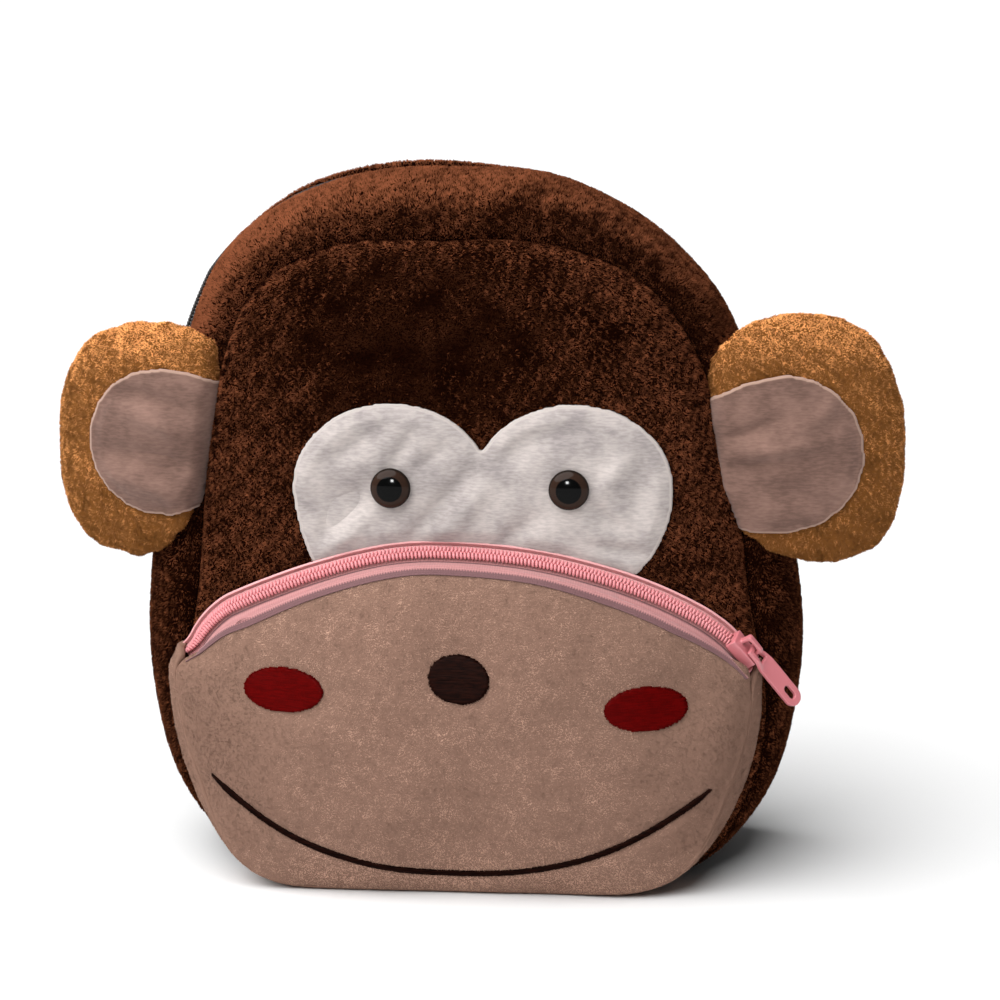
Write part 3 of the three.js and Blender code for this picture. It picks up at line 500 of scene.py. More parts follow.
def ribbon(name, columns, out, thick):
    """A woven tape from columns of points that run along it, its face the way that out points."""
    columns = [column[::2] for column in columns]
    out = out[::2]
    count = len(columns[0])
    bpy.ops.mesh.primitive_grid_add(x_subdivisions=len(columns) - 1, y_subdivisions=count - 1, calc_uvs=True)
    tape = bpy.context.object
    tape.name = name
    move_points(tape, np.stack(columns, 1).reshape(-1, 3))
    if np.sum(normals_of(tape) * np.repeat(out, len(columns), 0)) < 0:
        tape.data.flip_normals()
    finish_with(tape, "SOLIDIFY", thickness=thick, offset=-1)
    bpy.ops.object.shade_smooth_by_angle(angle=math.radians(40))
    return tape


def new_mesh(name, place, faces):
    """A piece from arrays of points and triangles."""
    mesh = bpy.data.meshes.new(name)
    mesh.from_pydata(place, [], faces)
    piece = bpy.data.objects.new(name, mesh)
    scene.collection.objects.link(piece)
    only(piece)
    bpy.ops.object.shade_smooth()
    return piece


def strung(name, part, start, end, out, wide, high):
    """One piece made of many copies of a small part, each lying from its start to its end."""
    run = end - start
    across = unit(np.cross(out, run))
    lift = unit(np.cross(run, across))
    wide = np.broadcast_to(wide, len(run))[:, None, None]
    high = np.broadcast_to(high, len(run))[:, None, None]
    corner = points_of(part)
    part.data.calc_loop_triangles()
    faces = array_of(part.data.loop_triangles, "vertices", 3, np.int32)
    place = (start + end)[:, None] / 2 + corner[None, :, 0:1] * run[:, None]
    place = place + corner[None, :, 1:2] * across[:, None] * wide
    place = place + corner[None, :, 2:3] * lift[:, None] * high
    first = np.arange(len(run))[:, None, None] * len(corner)
    return new_mesh(name, place.reshape(-1, 3), (faces[None] + first).reshape(-1, 3))


def joined(first, *others):
    """Joins pieces into the first one."""
    only(first)
    for other in others:
        other.select_set(True)
    bpy.ops.object.join()
    return first


def at(line, key, run):
    """A zip line's values at distances along it."""
    places = run / COIL_STEP
    return np.column_stack([np.interp(places, np.arange(len(column)), column) for column in line[key].T])


def zip_teeth(name, line):
    """Two rows of slanting nylon teeth whose heads meet along the middle of a zip's line."""
    length = (len(line["middle"]) - 1) * COIL_STEP
    rows = []
    for side, shift in ((-1, 0.25), (1, 0.75)):
        head = (np.arange(int(length / TOOTH_PITCH)) + shift) * TOOTH_PITCH
        foot = head + TOOTH_SLANT
        start = at(line, "middle", head) + at(line, "out", head) * HEAD_LIFT * TOOTH_HIGH
        start = start - at(line, "across", head) * side * HEAD_PAST
        end = at(line, "middle", foot) - at(line, "out", foot) * FOOT_DROP * TOOTH_HIGH
        taper = np.clip(TOOTH_LEAST + head / TOOTH_TAPER, 0, 1)[:, None]
        end = end + at(line, "across", foot) * side * TOOTH_REACH * taper
        rows.append((start, end, at(line, "out", head)))
    start, end, out = (np.vstack(part) for part in zip(*rows))
    return strung(name, bead, start, end, out, TOOTH_WIDE, TOOTH_HIGH)


def nylon(name, low, high, roughness):
    """Moulded nylon: one colour, a little uneven."""
    material, shader, wire = surface(name, {"Roughness": roughness, "Specular IOR Level": 0.4})
    wire.feed(shader.inputs["Base Color"], wire.noise(scale=900.0, detail=2.0).mix(low, high))
    return material


bpy.ops.mesh.primitive_uv_sphere_add(segments=6, ring_count=4, radius=0.5, rotation=(0, math.pi / 2, 0))
bpy.ops.object.transform_apply(location=False, rotation=True, scale=False)
bead = bpy.context.object
zip_dark = nylon("zip_dark", ZIP_DARK, ZIP_DARK_HIGH, roughness=0.5)
main_line = zip_line("main_zip_coil", toward=(0, 1, 0), turn=0)
main_run = np.arange(len(main_line["middle"])) * COIL_STEP
main_sunk = MAIN_SINK * np.clip((main_run - MAIN_SHOWN) / MAIN_SINK_SPAN, -0.2, 1)
main_line["middle"] -= main_line["out"] * main_sunk[:, None]
main_over = np.linspace(-MAIN_TAPE_HALF, MAIN_TAPE_HALF, MAIN_COLUMNS)
main_columns = [beside(main_line, over, TAPE_DROP) for over in main_over]
main_tape = ribbon("main_zip_tape_woven", main_columns, main_line["out"], TAPE_THICK)
put(main_tape, zip_dark, "zip_dark", "main_zip_tape")
main_teeth = zip_teeth("main_zip_teeth", main_line)
put(main_teeth, zip_dark, "zip_dark", "main_zip_coil")


def cast_part(name, node, cell, passes):
    """A hard piece from its CAD node, remeshed fine and its edges rounded as a mould leaves them."""
    piece = sewn_copy(name, node)
    finish_with(piece, "REMESH", mode="VOXEL", voxel_size=cell)
    finish_with(piece, "SMOOTH", factor=0.5, iterations=passes)
    finish_with(piece, "DECIMATE", ratio=0.4)
    bpy.ops.object.shade_smooth()
    return piece


plastic_dark = nylon("plastic_dark", PLASTIC_LOW, PLASTIC_HIGH, roughness=0.35)
main_slider = cast_part("main_zip_slider_cast", "main_zip_slider", cell=0.35 * MM, passes=5)
put(main_slider, plastic_dark, "plastic_dark", "main_zip_slider")


# The ears: two cushions of golden-tan plush sewn into the side seams. Each is filled by a cloth
# simulation under pressure, and a mauve patch with a rolled pale edge is sewn on its front.
EAR_FILLING = {
    "cell": 4 * MM, "slim": 0.8 * MM, "most": 4.0 * MM, "pressure": 4, "passes": 80, "plump": 4.0 * MM,
}
FILLING_FRAMES = 20
FILLING_SMOOTHED = 12
EAR_SHAPE = {
    "left": {
        "top": 0.16, "bottom": 0.22, "drop": 1.5, "tuck": 0.0, "hang": 9.0, "upper": 0.03, "lower": 0.08,
        "slant": 1.0, "patch_tuck": 3.5, "patch_shift": (2.6, 0.0, 2.3),
    },
    "right": {
        "top": 0.10, "bottom": 0.10, "drop": 0.5, "tuck": 6.0, "hang": 4.0, "upper": 0.0, "lower": 0.10,
        "slant": 0.1, "patch_tuck": 6.5, "patch_shift": (-0.8, 0.0, -2.1),
    },
}
EAR_TRIM = 1.0 * MM
EAR_FULL_SPAN = 48 * MM
EAR_DROP_SPAN = 40 * MM
EAR_TUCK_SPAN = 15 * MM
EAR_TUCK_HIGH = 20 * MM
EAR_HANG_SPAN = 20 * MM
EAR_HANG_LOW = 30 * MM
EAR_STRETCH = 9 * MM
EAR_STRETCH_SPAN = 32 * MM
EAR_SLANT_TOP = 183 * MM
EAR_SLANT_SPAN = 49 * MM
EAR_FRONT = -37 * MM
EAR_FLAT = 0.55
EAR_DIP = 11 * MM
EAR_DIP_SPAN = 8 * MM
PATCH_CELL = 0.85 * MM
PATCH_RIM_FACING = 0.6
PATCH_ROOT_FACING = 0.75
PATCH_ROOT_SPAN = 14 * MM
PATCH_ROOT_FLAT = 0.3
PATCH_PUFF_SPAN = 5 * MM
PATCH_TUCK_SPAN = 24 * MM
PATCH_TUCK_HIGH = 15 * MM
PATCH_WRAP = 2.5
INNER_PUFF = 1.2 * MM
HEM_HIGH = 0.45 * MM
HEM_FROM_EDGE = 0.9
HEM_WIDE = 0.7
# The root colour is painted shade, for the ear pile's roots and the cloth between its tufts.
TAN_ROOT_SHADE = (0.18, 0.068, 0.017, 1)
TAN_LOW = (0.10, 0.042, 0.012, 1)
TAN_HIGH = (1.0, 0.42, 0.142, 1)
ROSE_LOW = (0.110, 0.058, 0.043, 1)
ROSE_HIGH = (0.235, 0.133, 0.103, 1)
ROSE_HEM = (0.34, 0.215, 0.165, 1)
EAR_FOLDS = {
    "inner_ear_left": (
        {"x": -112, "z": 163, "turn": -20, "long": 17, "wide": 4.0, "high": 3.2},
        {"x": -116, "z": 151, "turn": -8, "long": 20, "wide": 4.0, "high": -3.2},
        {"x": -124, "z": 174, "turn": -12, "long": 16, "wide": 4.0, "high": -2.4},
        {"x": -114, "z": 140, "turn": -14, "long": 16, "wide": 3.6, "high": 2.6},
    ),
    "inner_ear_right": (
        {"x": 101, "z": 168, "turn": 25, "long": 10, "wide": 2.6, "high": -2.9},
        {"x": 102, "z": 156, "turn": 5, "long": 12, "wide": 2.8, "high": -2.9},
        {"x": 112, "z": 162, "turn": 12, "long": 16, "wide": 3.2, "high": 2.0},
        {"x": 118, "z": 146, "turn": -25, "long": 14, "wide": 3.5, "high": -1.5},
        {"x": 124, "z": 174, "turn": 40, "long": 12, "wide": 3.2, "high": 1.3},
    ),
}


def stuffed(name, node, cell, slim, most, pressure, passes, plump):
    """A padded piece: its CAD form drawn in a little, then swollen by cloth simulation and smoothed."""
    piece = sewn_copy(name, node)
    finish_with(piece, "REMESH", mode="VOXEL", voxel_size=cell)
    cut = points_of(piece)
    finish_with(piece, "DISPLACE", strength=-slim, mid_level=0)
    only(piece)
    cloth = piece.modifiers.new("filling", "CLOTH")
    cloth.settings.use_pressure = True
    cloth.settings.uniform_pressure_force = pressure
    cloth.settings.effector_weights.gravity = 0
    for step in range(1, FILLING_FRAMES + 1):
        scene.frame_set(step)
    bpy.ops.object.modifier_apply(modifier=cloth.name)
    move = points_of(piece) - cut
    far = np.linalg.norm(move, axis=1, keepdims=True)
    move_points(piece, cut + move * np.minimum(1, most / np.maximum(far, 1e-9)))
    scene.frame_set(1)
    finish_with(piece, "SMOOTH", factor=0.5, iterations=passes)
    finish_with(piece, "DISPLACE", strength=plump, mid_level=0)
    finish_with(piece, "SUBSURF", levels=2, render_levels=2)
    finish_with(piece, "SMOOTH", factor=0.5, iterations=FILLING_SMOOTHED)
    bpy.ops.object.shade_smooth()
    return piece


def fitted(piece, node, trim):
    """A piece's points drawn out to fill the box of its CAD node, less a trim on every side."""
    low, high = (np.array(corner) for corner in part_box(node))
    place = points_of(piece)
    share = (place - place.min(0)) / np.ptp(place, axis=0)
    return low + trim + share * (high - low - 2 * trim)


def front_of(tree, x, z):
    """Where a line of sight along Y first meets a surface, and which way the surface faces there."""
    place, normal, _, _ = tree.ray_cast(Vector((x, -0.4, z)), Vector((0, 1, 0)))
    return place, normal


def facing_front(piece):
    """How much a piece's points face the front, from 0 to 1."""
    return np.clip(-normals_of(piece)[:, 1] * 2, 0, 1)


def folds_at(place, folds):
    """The height of soft folds in a sewn patch, from a table of ridges and hollows in millimetres."""
    height = np.zeros(len(place))
    for fold in folds:
        turn = math.radians(fold["turn"])
        x = place[:, 0] / MM - fold["x"]
        z = place[:, 2] / MM - fold["z"]
        along = (x * math.cos(turn) + z * math.sin(turn)) / fold["long"]
        across = (z * math.cos(turn) - x * math.sin(turn)) / fold["wide"]
        height += fold["high"] * MM * np.exp(-along ** 2 - across ** 2)
    return height


def patch(name, node, puff, folds, root):
    """A sewn-on patch: its CAD form remeshed fine, puffed and folded, flat toward a root that is sewn in."""
    piece = sewn_copy(name, node)
    finish_with(piece, "REMESH", mode="VOXEL", voxel_size=PATCH_CELL)
    finish_with(piece, "SMOOTH", factor=0.5, iterations=5)
    place = points_of(piece)
    normal = normals_of(piece)
    rim = place[(np.abs(normal[:, 1]) < PATCH_RIM_FACING) & (normal[:, 0] * root < PATCH_ROOT_FACING)]
    gap = np.array([np.sqrt(((rim[:, [0, 2]] - point[[0, 2]]) ** 2).sum(1).min()) for point in place])
    height = folds_at(place, folds)
    if root:
        from_root = (place[:, 0] * root).max() - place[:, 0] * root
        height *= np.clip(from_root / PATCH_ROOT_SPAN - PATCH_ROOT_FLAT, 0, 1)
    place[:, 1] -= facing_front(piece) * (puff + height) * ramp(gap, 0, PATCH_PUFF_SPAN)
    move_points(piece, place)
    mark_points(piece, "from_edge", gap / MM)
    bpy.ops.object.shade_smooth()
    return piece


def knit(name, low, high, hem, hem_wide):
    """Brushed knit: soft cloudy tones, fine rows of loops, and a paler hem along its edge."""
    material, shader, wire = surface(name, {
        "Roughness": 0.85, "Specular IOR Level": 0.2, "Sheen Weight": 0.2, "Sheen Roughness": 0.5,
    })
    cloud = wire.noise(scale=70.0, detail=4.0)
    rows = wire.noise(scale=1.0, detail=2.0, stretch=(350, 350, 1400))
    edge = wire.node("Attribute", {"attribute_name": "from_edge"}, output="Fac")
    tone = cloud.step(0.3, 0.7) * 0.65 + rows.step(0.3, 0.7) * 0.35
    colour = edge.step(0.6 * hem_wide, hem_wide).mix(hem, tone.mix(low, high))
    wire.feed(shader.inputs["Base Color"], colour)
    wire.bump(shader, strength=0.35, deep=0.22 * MM, height=rows)
    return material


def nearness(from_root, span, most=1.2):
    """From 1 at an ear's root to 0 at a span from it, and a little over 1 past the root."""
    return np.clip(1 - from_root / span, 0, most)


def drawn_in(place, from_root, slant):
    """How far an ear's cloth is drawn in over the face seam, less toward the foot of a slanting root."""
    low_share = np.clip((EAR_SLANT_TOP - place[:, 2]) / EAR_SLANT_SPAN, 0, 1.2)
    return EAR_STRETCH * nearness(from_root, EAR_STRETCH_SPAN) * (1 - slant * low_share)


def swell_of(before, after, place, moved):
    """How far a surface moved along Y under each point, wrapped back for points past its rim."""
    swell = np.full(len(place), np.nan)
    for i in range(len(place)):
        drawn, _ = front_of(before, place[i, 0], place[i, 2])
        filled, _ = front_of(after, moved[i, 0], moved[i, 2])
        if drawn and filled:
            swell[i] = filled.y - drawn.y
    known = moved[np.isfinite(swell)]
    known_swell = swell[np.isfinite(swell)]
    for i in np.flatnonzero(np.isnan(swell)):
        away = np.linalg.norm((known - moved[i])[:, [0, 2]], axis=1)
        swell[i] = known_swell[away.argmin()] + PATCH_WRAP * away.min()
    return swell


tan = plush("plush_tan", TAN_ROOT_SHADE, TAN_LOW, TAN_HIGH, sheen=0.35, patch=10 * MM)
rose = knit("patch_rose", ROSE_LOW, ROSE_HIGH, ROSE_HEM, hem_wide=1.1)
ears = {}
inner_ears = []
for side, outward in (("left", -1), ("right", 1)):
    low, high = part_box(f"ear_{side}")
    root_x = high.x if side == "left" else low.x
    middle = (low + high) / 2
    half = (high - low) / 2
    shape = EAR_SHAPE[side]
    ear = stuffed(f"ear_{side}_plush", f"ear_{side}", **EAR_FILLING)
    place = fitted(ear, f"ear_{side}", EAR_TRIM)
    from_root = (place[:, 0] - root_x) * outward
    up = place[:, 2] - middle.z
    spread = np.where(up > 0, shape["top"], shape["bottom"])
    place[:, 2] += up * nearness(from_root, EAR_FULL_SPAN, 1.1) ** 2 * spread
    place[:, 2] -= shape["drop"] * MM * ramp(-up, 0, EAR_DROP_SPAN)
    tucked = nearness(from_root, EAR_TUCK_SPAN, 1) * ramp(up, 0, EAR_TUCK_HIGH)
    place[:, 2] -= shape["tuck"] * MM * tucked
    hung = nearness(from_root, EAR_HANG_SPAN) * ramp(-up, 0, EAR_HANG_LOW)
    place[:, 2] -= shape["hang"] * MM * hung
    across = np.clip((place[:, 0] - middle.x) * outward / half.x, 0, 2)
    above = (place[:, 2] - middle.z) / half.z
    corner = (2 * across * above / np.maximum(across ** 2 + above ** 2, 1e-6)) ** 2
    grown = 1 + corner * np.where(above > 0, shape["upper"], shape["lower"])
    place[:, 0] = middle.x + (place[:, 0] - middle.x) * grown
    place[:, 2] = middle.z + (place[:, 2] - middle.z) * grown
    place[:, 0] -= outward * drawn_in(place, from_root, shape["slant"])
    flat = 1 - EAR_FLAT * nearness(from_root, EAR_STRETCH_SPAN)
    place[:, 1] = EAR_FRONT + (place[:, 1] - EAR_FRONT) * flat
    place[:, 1] += EAR_DIP * nearness(from_root, EAR_DIP_SPAN, 1.3) ** 2
    move_points(ear, place)
    put(ear, tan, "plush_tan", f"ear_{side}")
    ears[side] = ear
    inner_name = f"inner_ear_{side}"
    inner = patch(inner_name + "_knit", inner_name, INNER_PUFF, EAR_FOLDS[inner_name], root=-outward)
    place = points_of(inner)
    moved = place + np.array(shape["patch_shift"]) * MM
    from_root = (moved[:, 0] - root_x) * outward
    tucked = nearness(from_root, PATCH_TUCK_SPAN) * ramp(moved[:, 2] - middle.z, 0, PATCH_TUCK_HIGH)
    moved[:, 2] -= shape["patch_tuck"] * MM * tucked
    moved[:, 0] -= outward * drawn_in(moved, from_root, shape["slant"])
    moved[:, 1] += swell_of(cad_tree(f"ear_{side}"), tree_of(ear), place, moved)
    hem = np.exp(-((marks_of(inner, "from_edge") - HEM_FROM_EDGE) / HEM_WIDE) ** 2)
    moved[:, 1] -= HEM_HIGH * hem * facing_front(inner)
    move_points(inner, moved)
    put(inner, rose, "patch_rose", inner_name)
    inner_ears.append(inner)


# The eye patch: white brushed knit with two round lobes, sewn flat on the face over soft puckers, its
# raw edge covered by close white overcast stitches.
SHOULDER_DROP = 4.8 * MM
SHOULDER_IN = 3.0 * MM
SHOULDER_SPAN = (12, 78)
SHOULDER_END = (88, 104)
EYE_PATCH_LEVEL = (138, 120)
EYE_PATCH_PUFF = 1.9 * MM
OVERCAST_PITCH = 0.5 * MM
OVERCAST_IN = 0.6 * MM
OVERCAST_OUT = 0.1 * MM
OVERCAST_WIDE = 0.32 * MM
OVERCAST_HIGH = 0.2 * MM
OVERCAST_LIFT = 0.1 * MM
WHITE_LOW = (0.27, 0.237, 0.232, 1)
WHITE_HIGH = (0.54, 0.48, 0.453, 1)
WHITE_EDGE = (0.50, 0.445, 0.42, 1)
EYE_FOLDS = (
    {"x": -47, "z": 140, "turn": 10, "long": 16, "wide": 10, "high": -3.0},
    {"x": -47, "z": 136, "turn": 48, "long": 12, "wide": 3.2, "high": -1.9},
    {"x": -44, "z": 130, "turn": 40, "long": 12, "wide": 3.6, "high": 1.5},
    {"x": -40, "z": 162, "turn": 33, "long": 13, "wide": 3.4, "high": -1.7},
    {"x": -24, "z": 160, "turn": 56, "long": 9, "wide": 3.0, "high": -1.5},
    {"x": -14, "z": 157, "turn": 40, "long": 8, "wide": 3.0, "high": -1.4},
    {"x": -10, "z": 141, "turn": 49, "long": 18, "wide": 3.2, "high": -2.0},
    {"x": -4, "z": 136, "turn": 49, "long": 16, "wide": 4.0, "high": 1.7},
    {"x": 17, "z": 131, "turn": 40, "long": 10, "wide": 4.0, "high": -1.9},
    {"x": 16, "z": 159, "turn": 30, "long": 10, "wide": 4.2, "high": -1.7},
    {"x": 30, "z": 166, "turn": 12, "long": 14, "wide": 4.0, "high": -1.4},
    {"x": 50, "z": 150, "turn": 55, "long": 10, "wide": 3.5, "high": 1.5},
    {"x": 48, "z": 136, "turn": -40, "long": 8, "wide": 3.0, "high": -1.7},
    {"x": 55, "z": 124, "turn": -8, "long": 13, "wide": 3.0, "high": -2.2},
    {"x": 60, "z": 146, "turn": 80, "long": 14, "wide": 4.0, "high": -1.2},
)


def settled(place, none, full):
    """Lets points hang lower on the pocket's left shoulder, from one height, where none do, to another."""
    left = eased(ramp(-place[:, 0] / MM, *SHOULDER_SPAN))
    far = ramp(-place[:, 0] / MM, *SHOULDER_END)
    level = eased(ramp(place[:, 2] / MM, none, full))
    lower = np.array(place)
    lower[:, 2] -= SHOULDER_DROP * left * level
    lower[:, 0] += SHOULDER_IN * far * level
    return lower


def outline_of(piece, tree, step):
    """The outline of a patch as it is seen from the front, evenly spaced, in x and z."""
    low = Vector(piece.bound_box[0])
    high = Vector(piece.bound_box[6])
    middle = (low + high) / 2
    spokes = np.linspace(0, 2 * math.pi, 241)[:-1]
    points = []
    for spoke in spokes:
        way = np.array([math.cos(spoke), math.sin(spoke)])
        inside = 0.0
        outside = (high - low).length
        for _ in range(16):
            test = (inside + outside) / 2
            hit, _ = front_of(tree, middle.x + way[0] * test, middle.z + way[1] * test)
            inside, outside = (test, outside) if hit else (inside, test)
        points.append([middle.x + way[0] * inside, 0, middle.z + way[1] * inside])
    return even_run(np.array(points + points[:1]), step)


def overcast(name, piece, ground, step):
    """Close stitches over the edge of a patch, from just inside it down to the cloth beside it."""
    cover = tree_of(piece)
    rng = np.random.default_rng(5)
    edge = outline_of(piece, cover, step)
    along = unit(np.gradient(edge, axis=0))
    outward = np.column_stack([along[:, 2], along[:, 1], -along[:, 0]])
    rows = []
    for point, way in zip(edge, outward):
        near = point - way * OVERCAST_IN * rng.uniform(0.8, 1.3)
        far = point + way * OVERCAST_OUT * rng.uniform(0.8, 1.3)
        start, facing = front_of(cover, near[0], near[2])
        end, _ = front_of(ground, far[0], far[2])
        if start and end:
            rows.append((start + facing * OVERCAST_LIFT, end - facing * OVERCAST_LIFT, facing))
    start, end, out = (np.array(part) for part in zip(*rows))
    return strung(name, stitch, start, end, out, OVERCAST_WIDE, OVERCAST_HIGH)


bpy.ops.mesh.primitive_cylinder_add(vertices=6, radius=0.5, depth=1, rotation=(0, math.pi / 2, 0))
bpy.ops.object.transform_apply(location=False, rotation=True, scale=False)
stitch = bpy.context.object
white = knit("patch_white", WHITE_LOW, WHITE_HIGH, WHITE_EDGE, hem_wide=1.4)
eye_patch = patch("eye_patch_knit", "eye_patch", EYE_PATCH_PUFF, EYE_FOLDS, root=0)
move_points(eye_patch, settled(points_of(eye_patch), *EYE_PATCH_LEVEL))
eye_patch_edge = overcast("eye_patch_edge", eye_patch, tree_of(shell["face_panel"]), OVERCAST_PITCH)
joined(eye_patch, eye_patch_edge)
put(eye_patch, white, "patch_white", "eye_patch")


# The eyes: two glossy moulded domes, black in the middle with a dark brown ring, set on the patch and
# tilted a little with it.
EYE_RADIUS = 7.2 * MM
EYE_RIM = 0.8 * MM
EYE_DOME = 3.52 * MM
EYE_TILT = 0.4
PUPIL_SHARE = 0.63
PUPIL_BLUR = 0.03
EYE_BLACK = (0.002, 0.002, 0.002, 1)
EYE_BROWN = (0.030, 0.016, 0.011, 1)
EYE_EDGE = (0.010, 0.006, 0.004, 1)
EDGE_SHARE = (0.88, 0.97)

gloss, gloss_shader, gloss_wire = surface("eye_gloss", {"Roughness": 0.1, "Specular IOR Level": 0.09})
ring = gloss_wire.node("Attribute", {"attribute_name": "ring"}, output="Fac")
iris = ring.step(PUPIL_SHARE - PUPIL_BLUR, PUPIL_SHARE + PUPIL_BLUR).mix(EYE_BLACK, EYE_BROWN)
gloss_wire.feed(gloss_shader.inputs["Base Color"], ring.step(*EDGE_SHARE).mix(iris, EYE_EDGE))
patch_tree = tree_of(eye_patch)
for side in ("left", "right"):
    low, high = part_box(f"eye_{side}")
    middle = (low + high) / 2
    bpy.ops.mesh.primitive_uv_sphere_add(segments=48, ring_count=32, radius=EYE_RADIUS)
    eye = bpy.context.object
    eye.name = f"eye_{side}_dome"
    bpy.ops.object.mode_set(mode="EDIT")
    bpy.ops.mesh.select_all(action="SELECT")
    bpy.ops.mesh.bisect(plane_co=(0, 0, 0), plane_no=(0, 0, 1), clear_inner=True, use_fill=True)
    bpy.ops.mesh.select_all(action="SELECT")
    bpy.ops.transform.resize(value=(1, 1, EYE_DOME / EYE_RADIUS))
    bpy.ops.object.mode_set(mode="OBJECT")
    place = points_of(eye)
    reach = np.linalg.norm(place[:, :2], axis=1) / EYE_RADIUS
    place[:, 2] += np.where(place[:, 2] < 1e-6, 0, EYE_RIM)
    move_points(eye, place)
    mark_points(eye, "ring", reach)
    _, facing = front_of(patch_tree, middle.x, middle.z)
    upright = Vector((facing.x * EYE_TILT, facing.y, facing.z * EYE_TILT)).to_track_quat("Z", "Y")
    base = Vector((middle.x, high.y, middle.z))
    eye.data.transform(Matrix.Translation(base) @ upright.to_matrix().to_4x4())
    bpy.ops.object.shade_smooth()
    put(eye, gloss, "eye_gloss", f"eye_{side}")


# The muzzle pocket, in peach plush clipped very short: a pillow-shaped front, pulled in where the cheeks,
# nose and smile are stitched through it, and a gusset round its sides and bottom.
MUZZLE_MIDDLE = np.array([-3.0, -34.0, 52.0]) * MM
MUZZLE_HALF = np.array([108.0, 30.0, 58.0]) * MM
MUZZLE_OUTER = 0.2
MUZZLE_SAG = 0.6 * MM
MUZZLE_SAG_SPAN = 48 * MM
MUZZLE_ROLL = 3.6 * MM
MUZZLE_REACH = 8 * MM
RIM_DEPTH = (-33, -41)
RIM_RISE = (12, 37)
RIM_LEAST = 0.25
CORNERS = (
    {"place": (103, -48, 76), "lift": (3, 0, 7)},
    {"place": (-108, -48, 76), "lift": (-3, 0, 7)},
)
CORNER_SPAN = 11 * MM
TAB_RISE = 10 * MM
TAB_HIGH = (62, 80)
TAB_BACK = (-46, -38)
POCKET_LEVEL = (76, 92)
PULLED_IN = 1.1 * MM
PULL_REACH = 5 * MM
SMILE_RADIUS = 140 * MM
SMILE_PULL = {"share": 0.9, "reach": 2.6 * MM, "end": 0.66, "fade": 0.08}
# The root colour is painted shade, for the muzzle pile's roots and the cloth between its tufts.
PEACH_ROOT_SHADE = (0.22, 0.128, 0.094, 1)
PEACH_LOW = (0.13, 0.078, 0.058, 1)
PEACH_HIGH = (0.65, 0.395, 0.292, 1)
OVALS = {"cheek_left": 0.0, "cheek_right": 0.0, "nose": -0.2}


def oval_of(node, turn):
    """The middle and half sizes of an oval stitched piece, and its turn."""
    low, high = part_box(node)
    middle = (low + high) / 2
    half = (high - low) / 2
    return {"x": middle.x, "z": middle.z, "wide": half.x, "tall": half.z, "turn": turn}


def oval_gap(place, oval):
    """How far points are outside an oval, roughly."""
    x = place[:, 0] - oval["x"]
    z = place[:, 2] - oval["z"]
    u = (x * math.cos(oval["turn"]) + z * math.sin(oval["turn"])) / oval["wide"]
    v = (z * math.cos(oval["turn"]) - x * math.sin(oval["turn"])) / oval["tall"]
    return (np.hypot(u, v) - 1) * min(oval["wide"], oval["tall"])


def roll_rim(piece, other):
    """Rolls a muzzle panel in along the seam to the other one, and lifts it at the zip's two ends."""
    place = points_of(piece)
    seam = gaps_to(cad_tree(other), place)
    normal = normals_of(piece)
    bulge = unit((place - MUZZLE_MIDDLE) / MUZZLE_HALF)
    mark_points(piece, "outer", np.sum(normal * unit(place - MUZZLE_MIDDLE), 1) > MUZZLE_OUTER)
    rolled = MUZZLE_ROLL * np.exp(-(seam / MUZZLE_REACH) ** 2) * ramp(place[:, 1] / MM, *RIM_DEPTH)
    rolled *= RIM_LEAST + (1 - RIM_LEAST) * ramp(place[:, 2] / MM, *RIM_RISE)
    place -= bulge * rolled[:, None]
    for corner in CORNERS:
        away = np.linalg.norm(place - np.array(corner["place"]) * MM, axis=1) / CORNER_SPAN
        place += np.exp(-away ** 2)[:, None] * np.array(corner["lift"]) * MM
    move_points(piece, place)
    mark_points(piece, "from_seam", seam)


peach = plush("plush_peach", PEACH_ROOT_SHADE, PEACH_LOW, PEACH_HIGH, sheen=0.25, patch=16 * MM)
muzzle = sewn_panel("muzzle_front_plush", "muzzle_front", levels=3)
roll_rim(muzzle, "muzzle_gusset")
ovals = {node: oval_of(node, turn) for node, turn in OVALS.items()}
smile_low, smile_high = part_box("smile")
smile_x = (smile_low.x + smile_high.x) / 2
smile_z = smile_low.z + 1 * MM + SMILE_RADIUS
place = points_of(muzzle)
pulled = np.zeros(len(place))
for oval in ovals.values():
    gap = np.maximum(oval_gap(place, oval), 0)
    pulled = np.maximum(pulled, PULLED_IN * np.exp(-(gap / PULL_REACH) ** 2))
from_smile = np.hypot(place[:, 0] - smile_x, place[:, 2] - smile_z) - SMILE_RADIUS
swung = np.abs(np.arctan2(place[:, 0] - smile_x, smile_z - place[:, 2]))
within = np.clip((SMILE_PULL["end"] - swung) / SMILE_PULL["fade"], 0, 1)
creased = SMILE_PULL["share"] * PULLED_IN * within * np.exp(-(from_smile / SMILE_PULL["reach"]) ** 2)
pulled = np.maximum(pulled, creased)
swell = waves(place, MUZZLE_SAG_SPAN, 23) * MUZZLE_SAG
place[:, 1] += facing_front(muzzle) * (pulled - swell)
move_points(muzzle, settled(place, *POCKET_LEVEL))
put(muzzle, peach, "plush_peach", "muzzle_front")
gusset = sewn_panel("muzzle_gusset_plush", "muzzle_gusset", levels=2)
roll_rim(gusset, "muzzle_front")
place = points_of(gusset)
rise = ramp(place[:, 2] / MM, *TAB_HIGH) * ramp(place[:, 1] / MM, *TAB_BACK)
place[:, 2] += TAB_RISE * rise
move_points(gusset, settled(place, *POCKET_LEVEL))
put(gusset, peach, "plush_peach", "muzzle_gusset")
muzzle_tree = tree_of(muzzle)


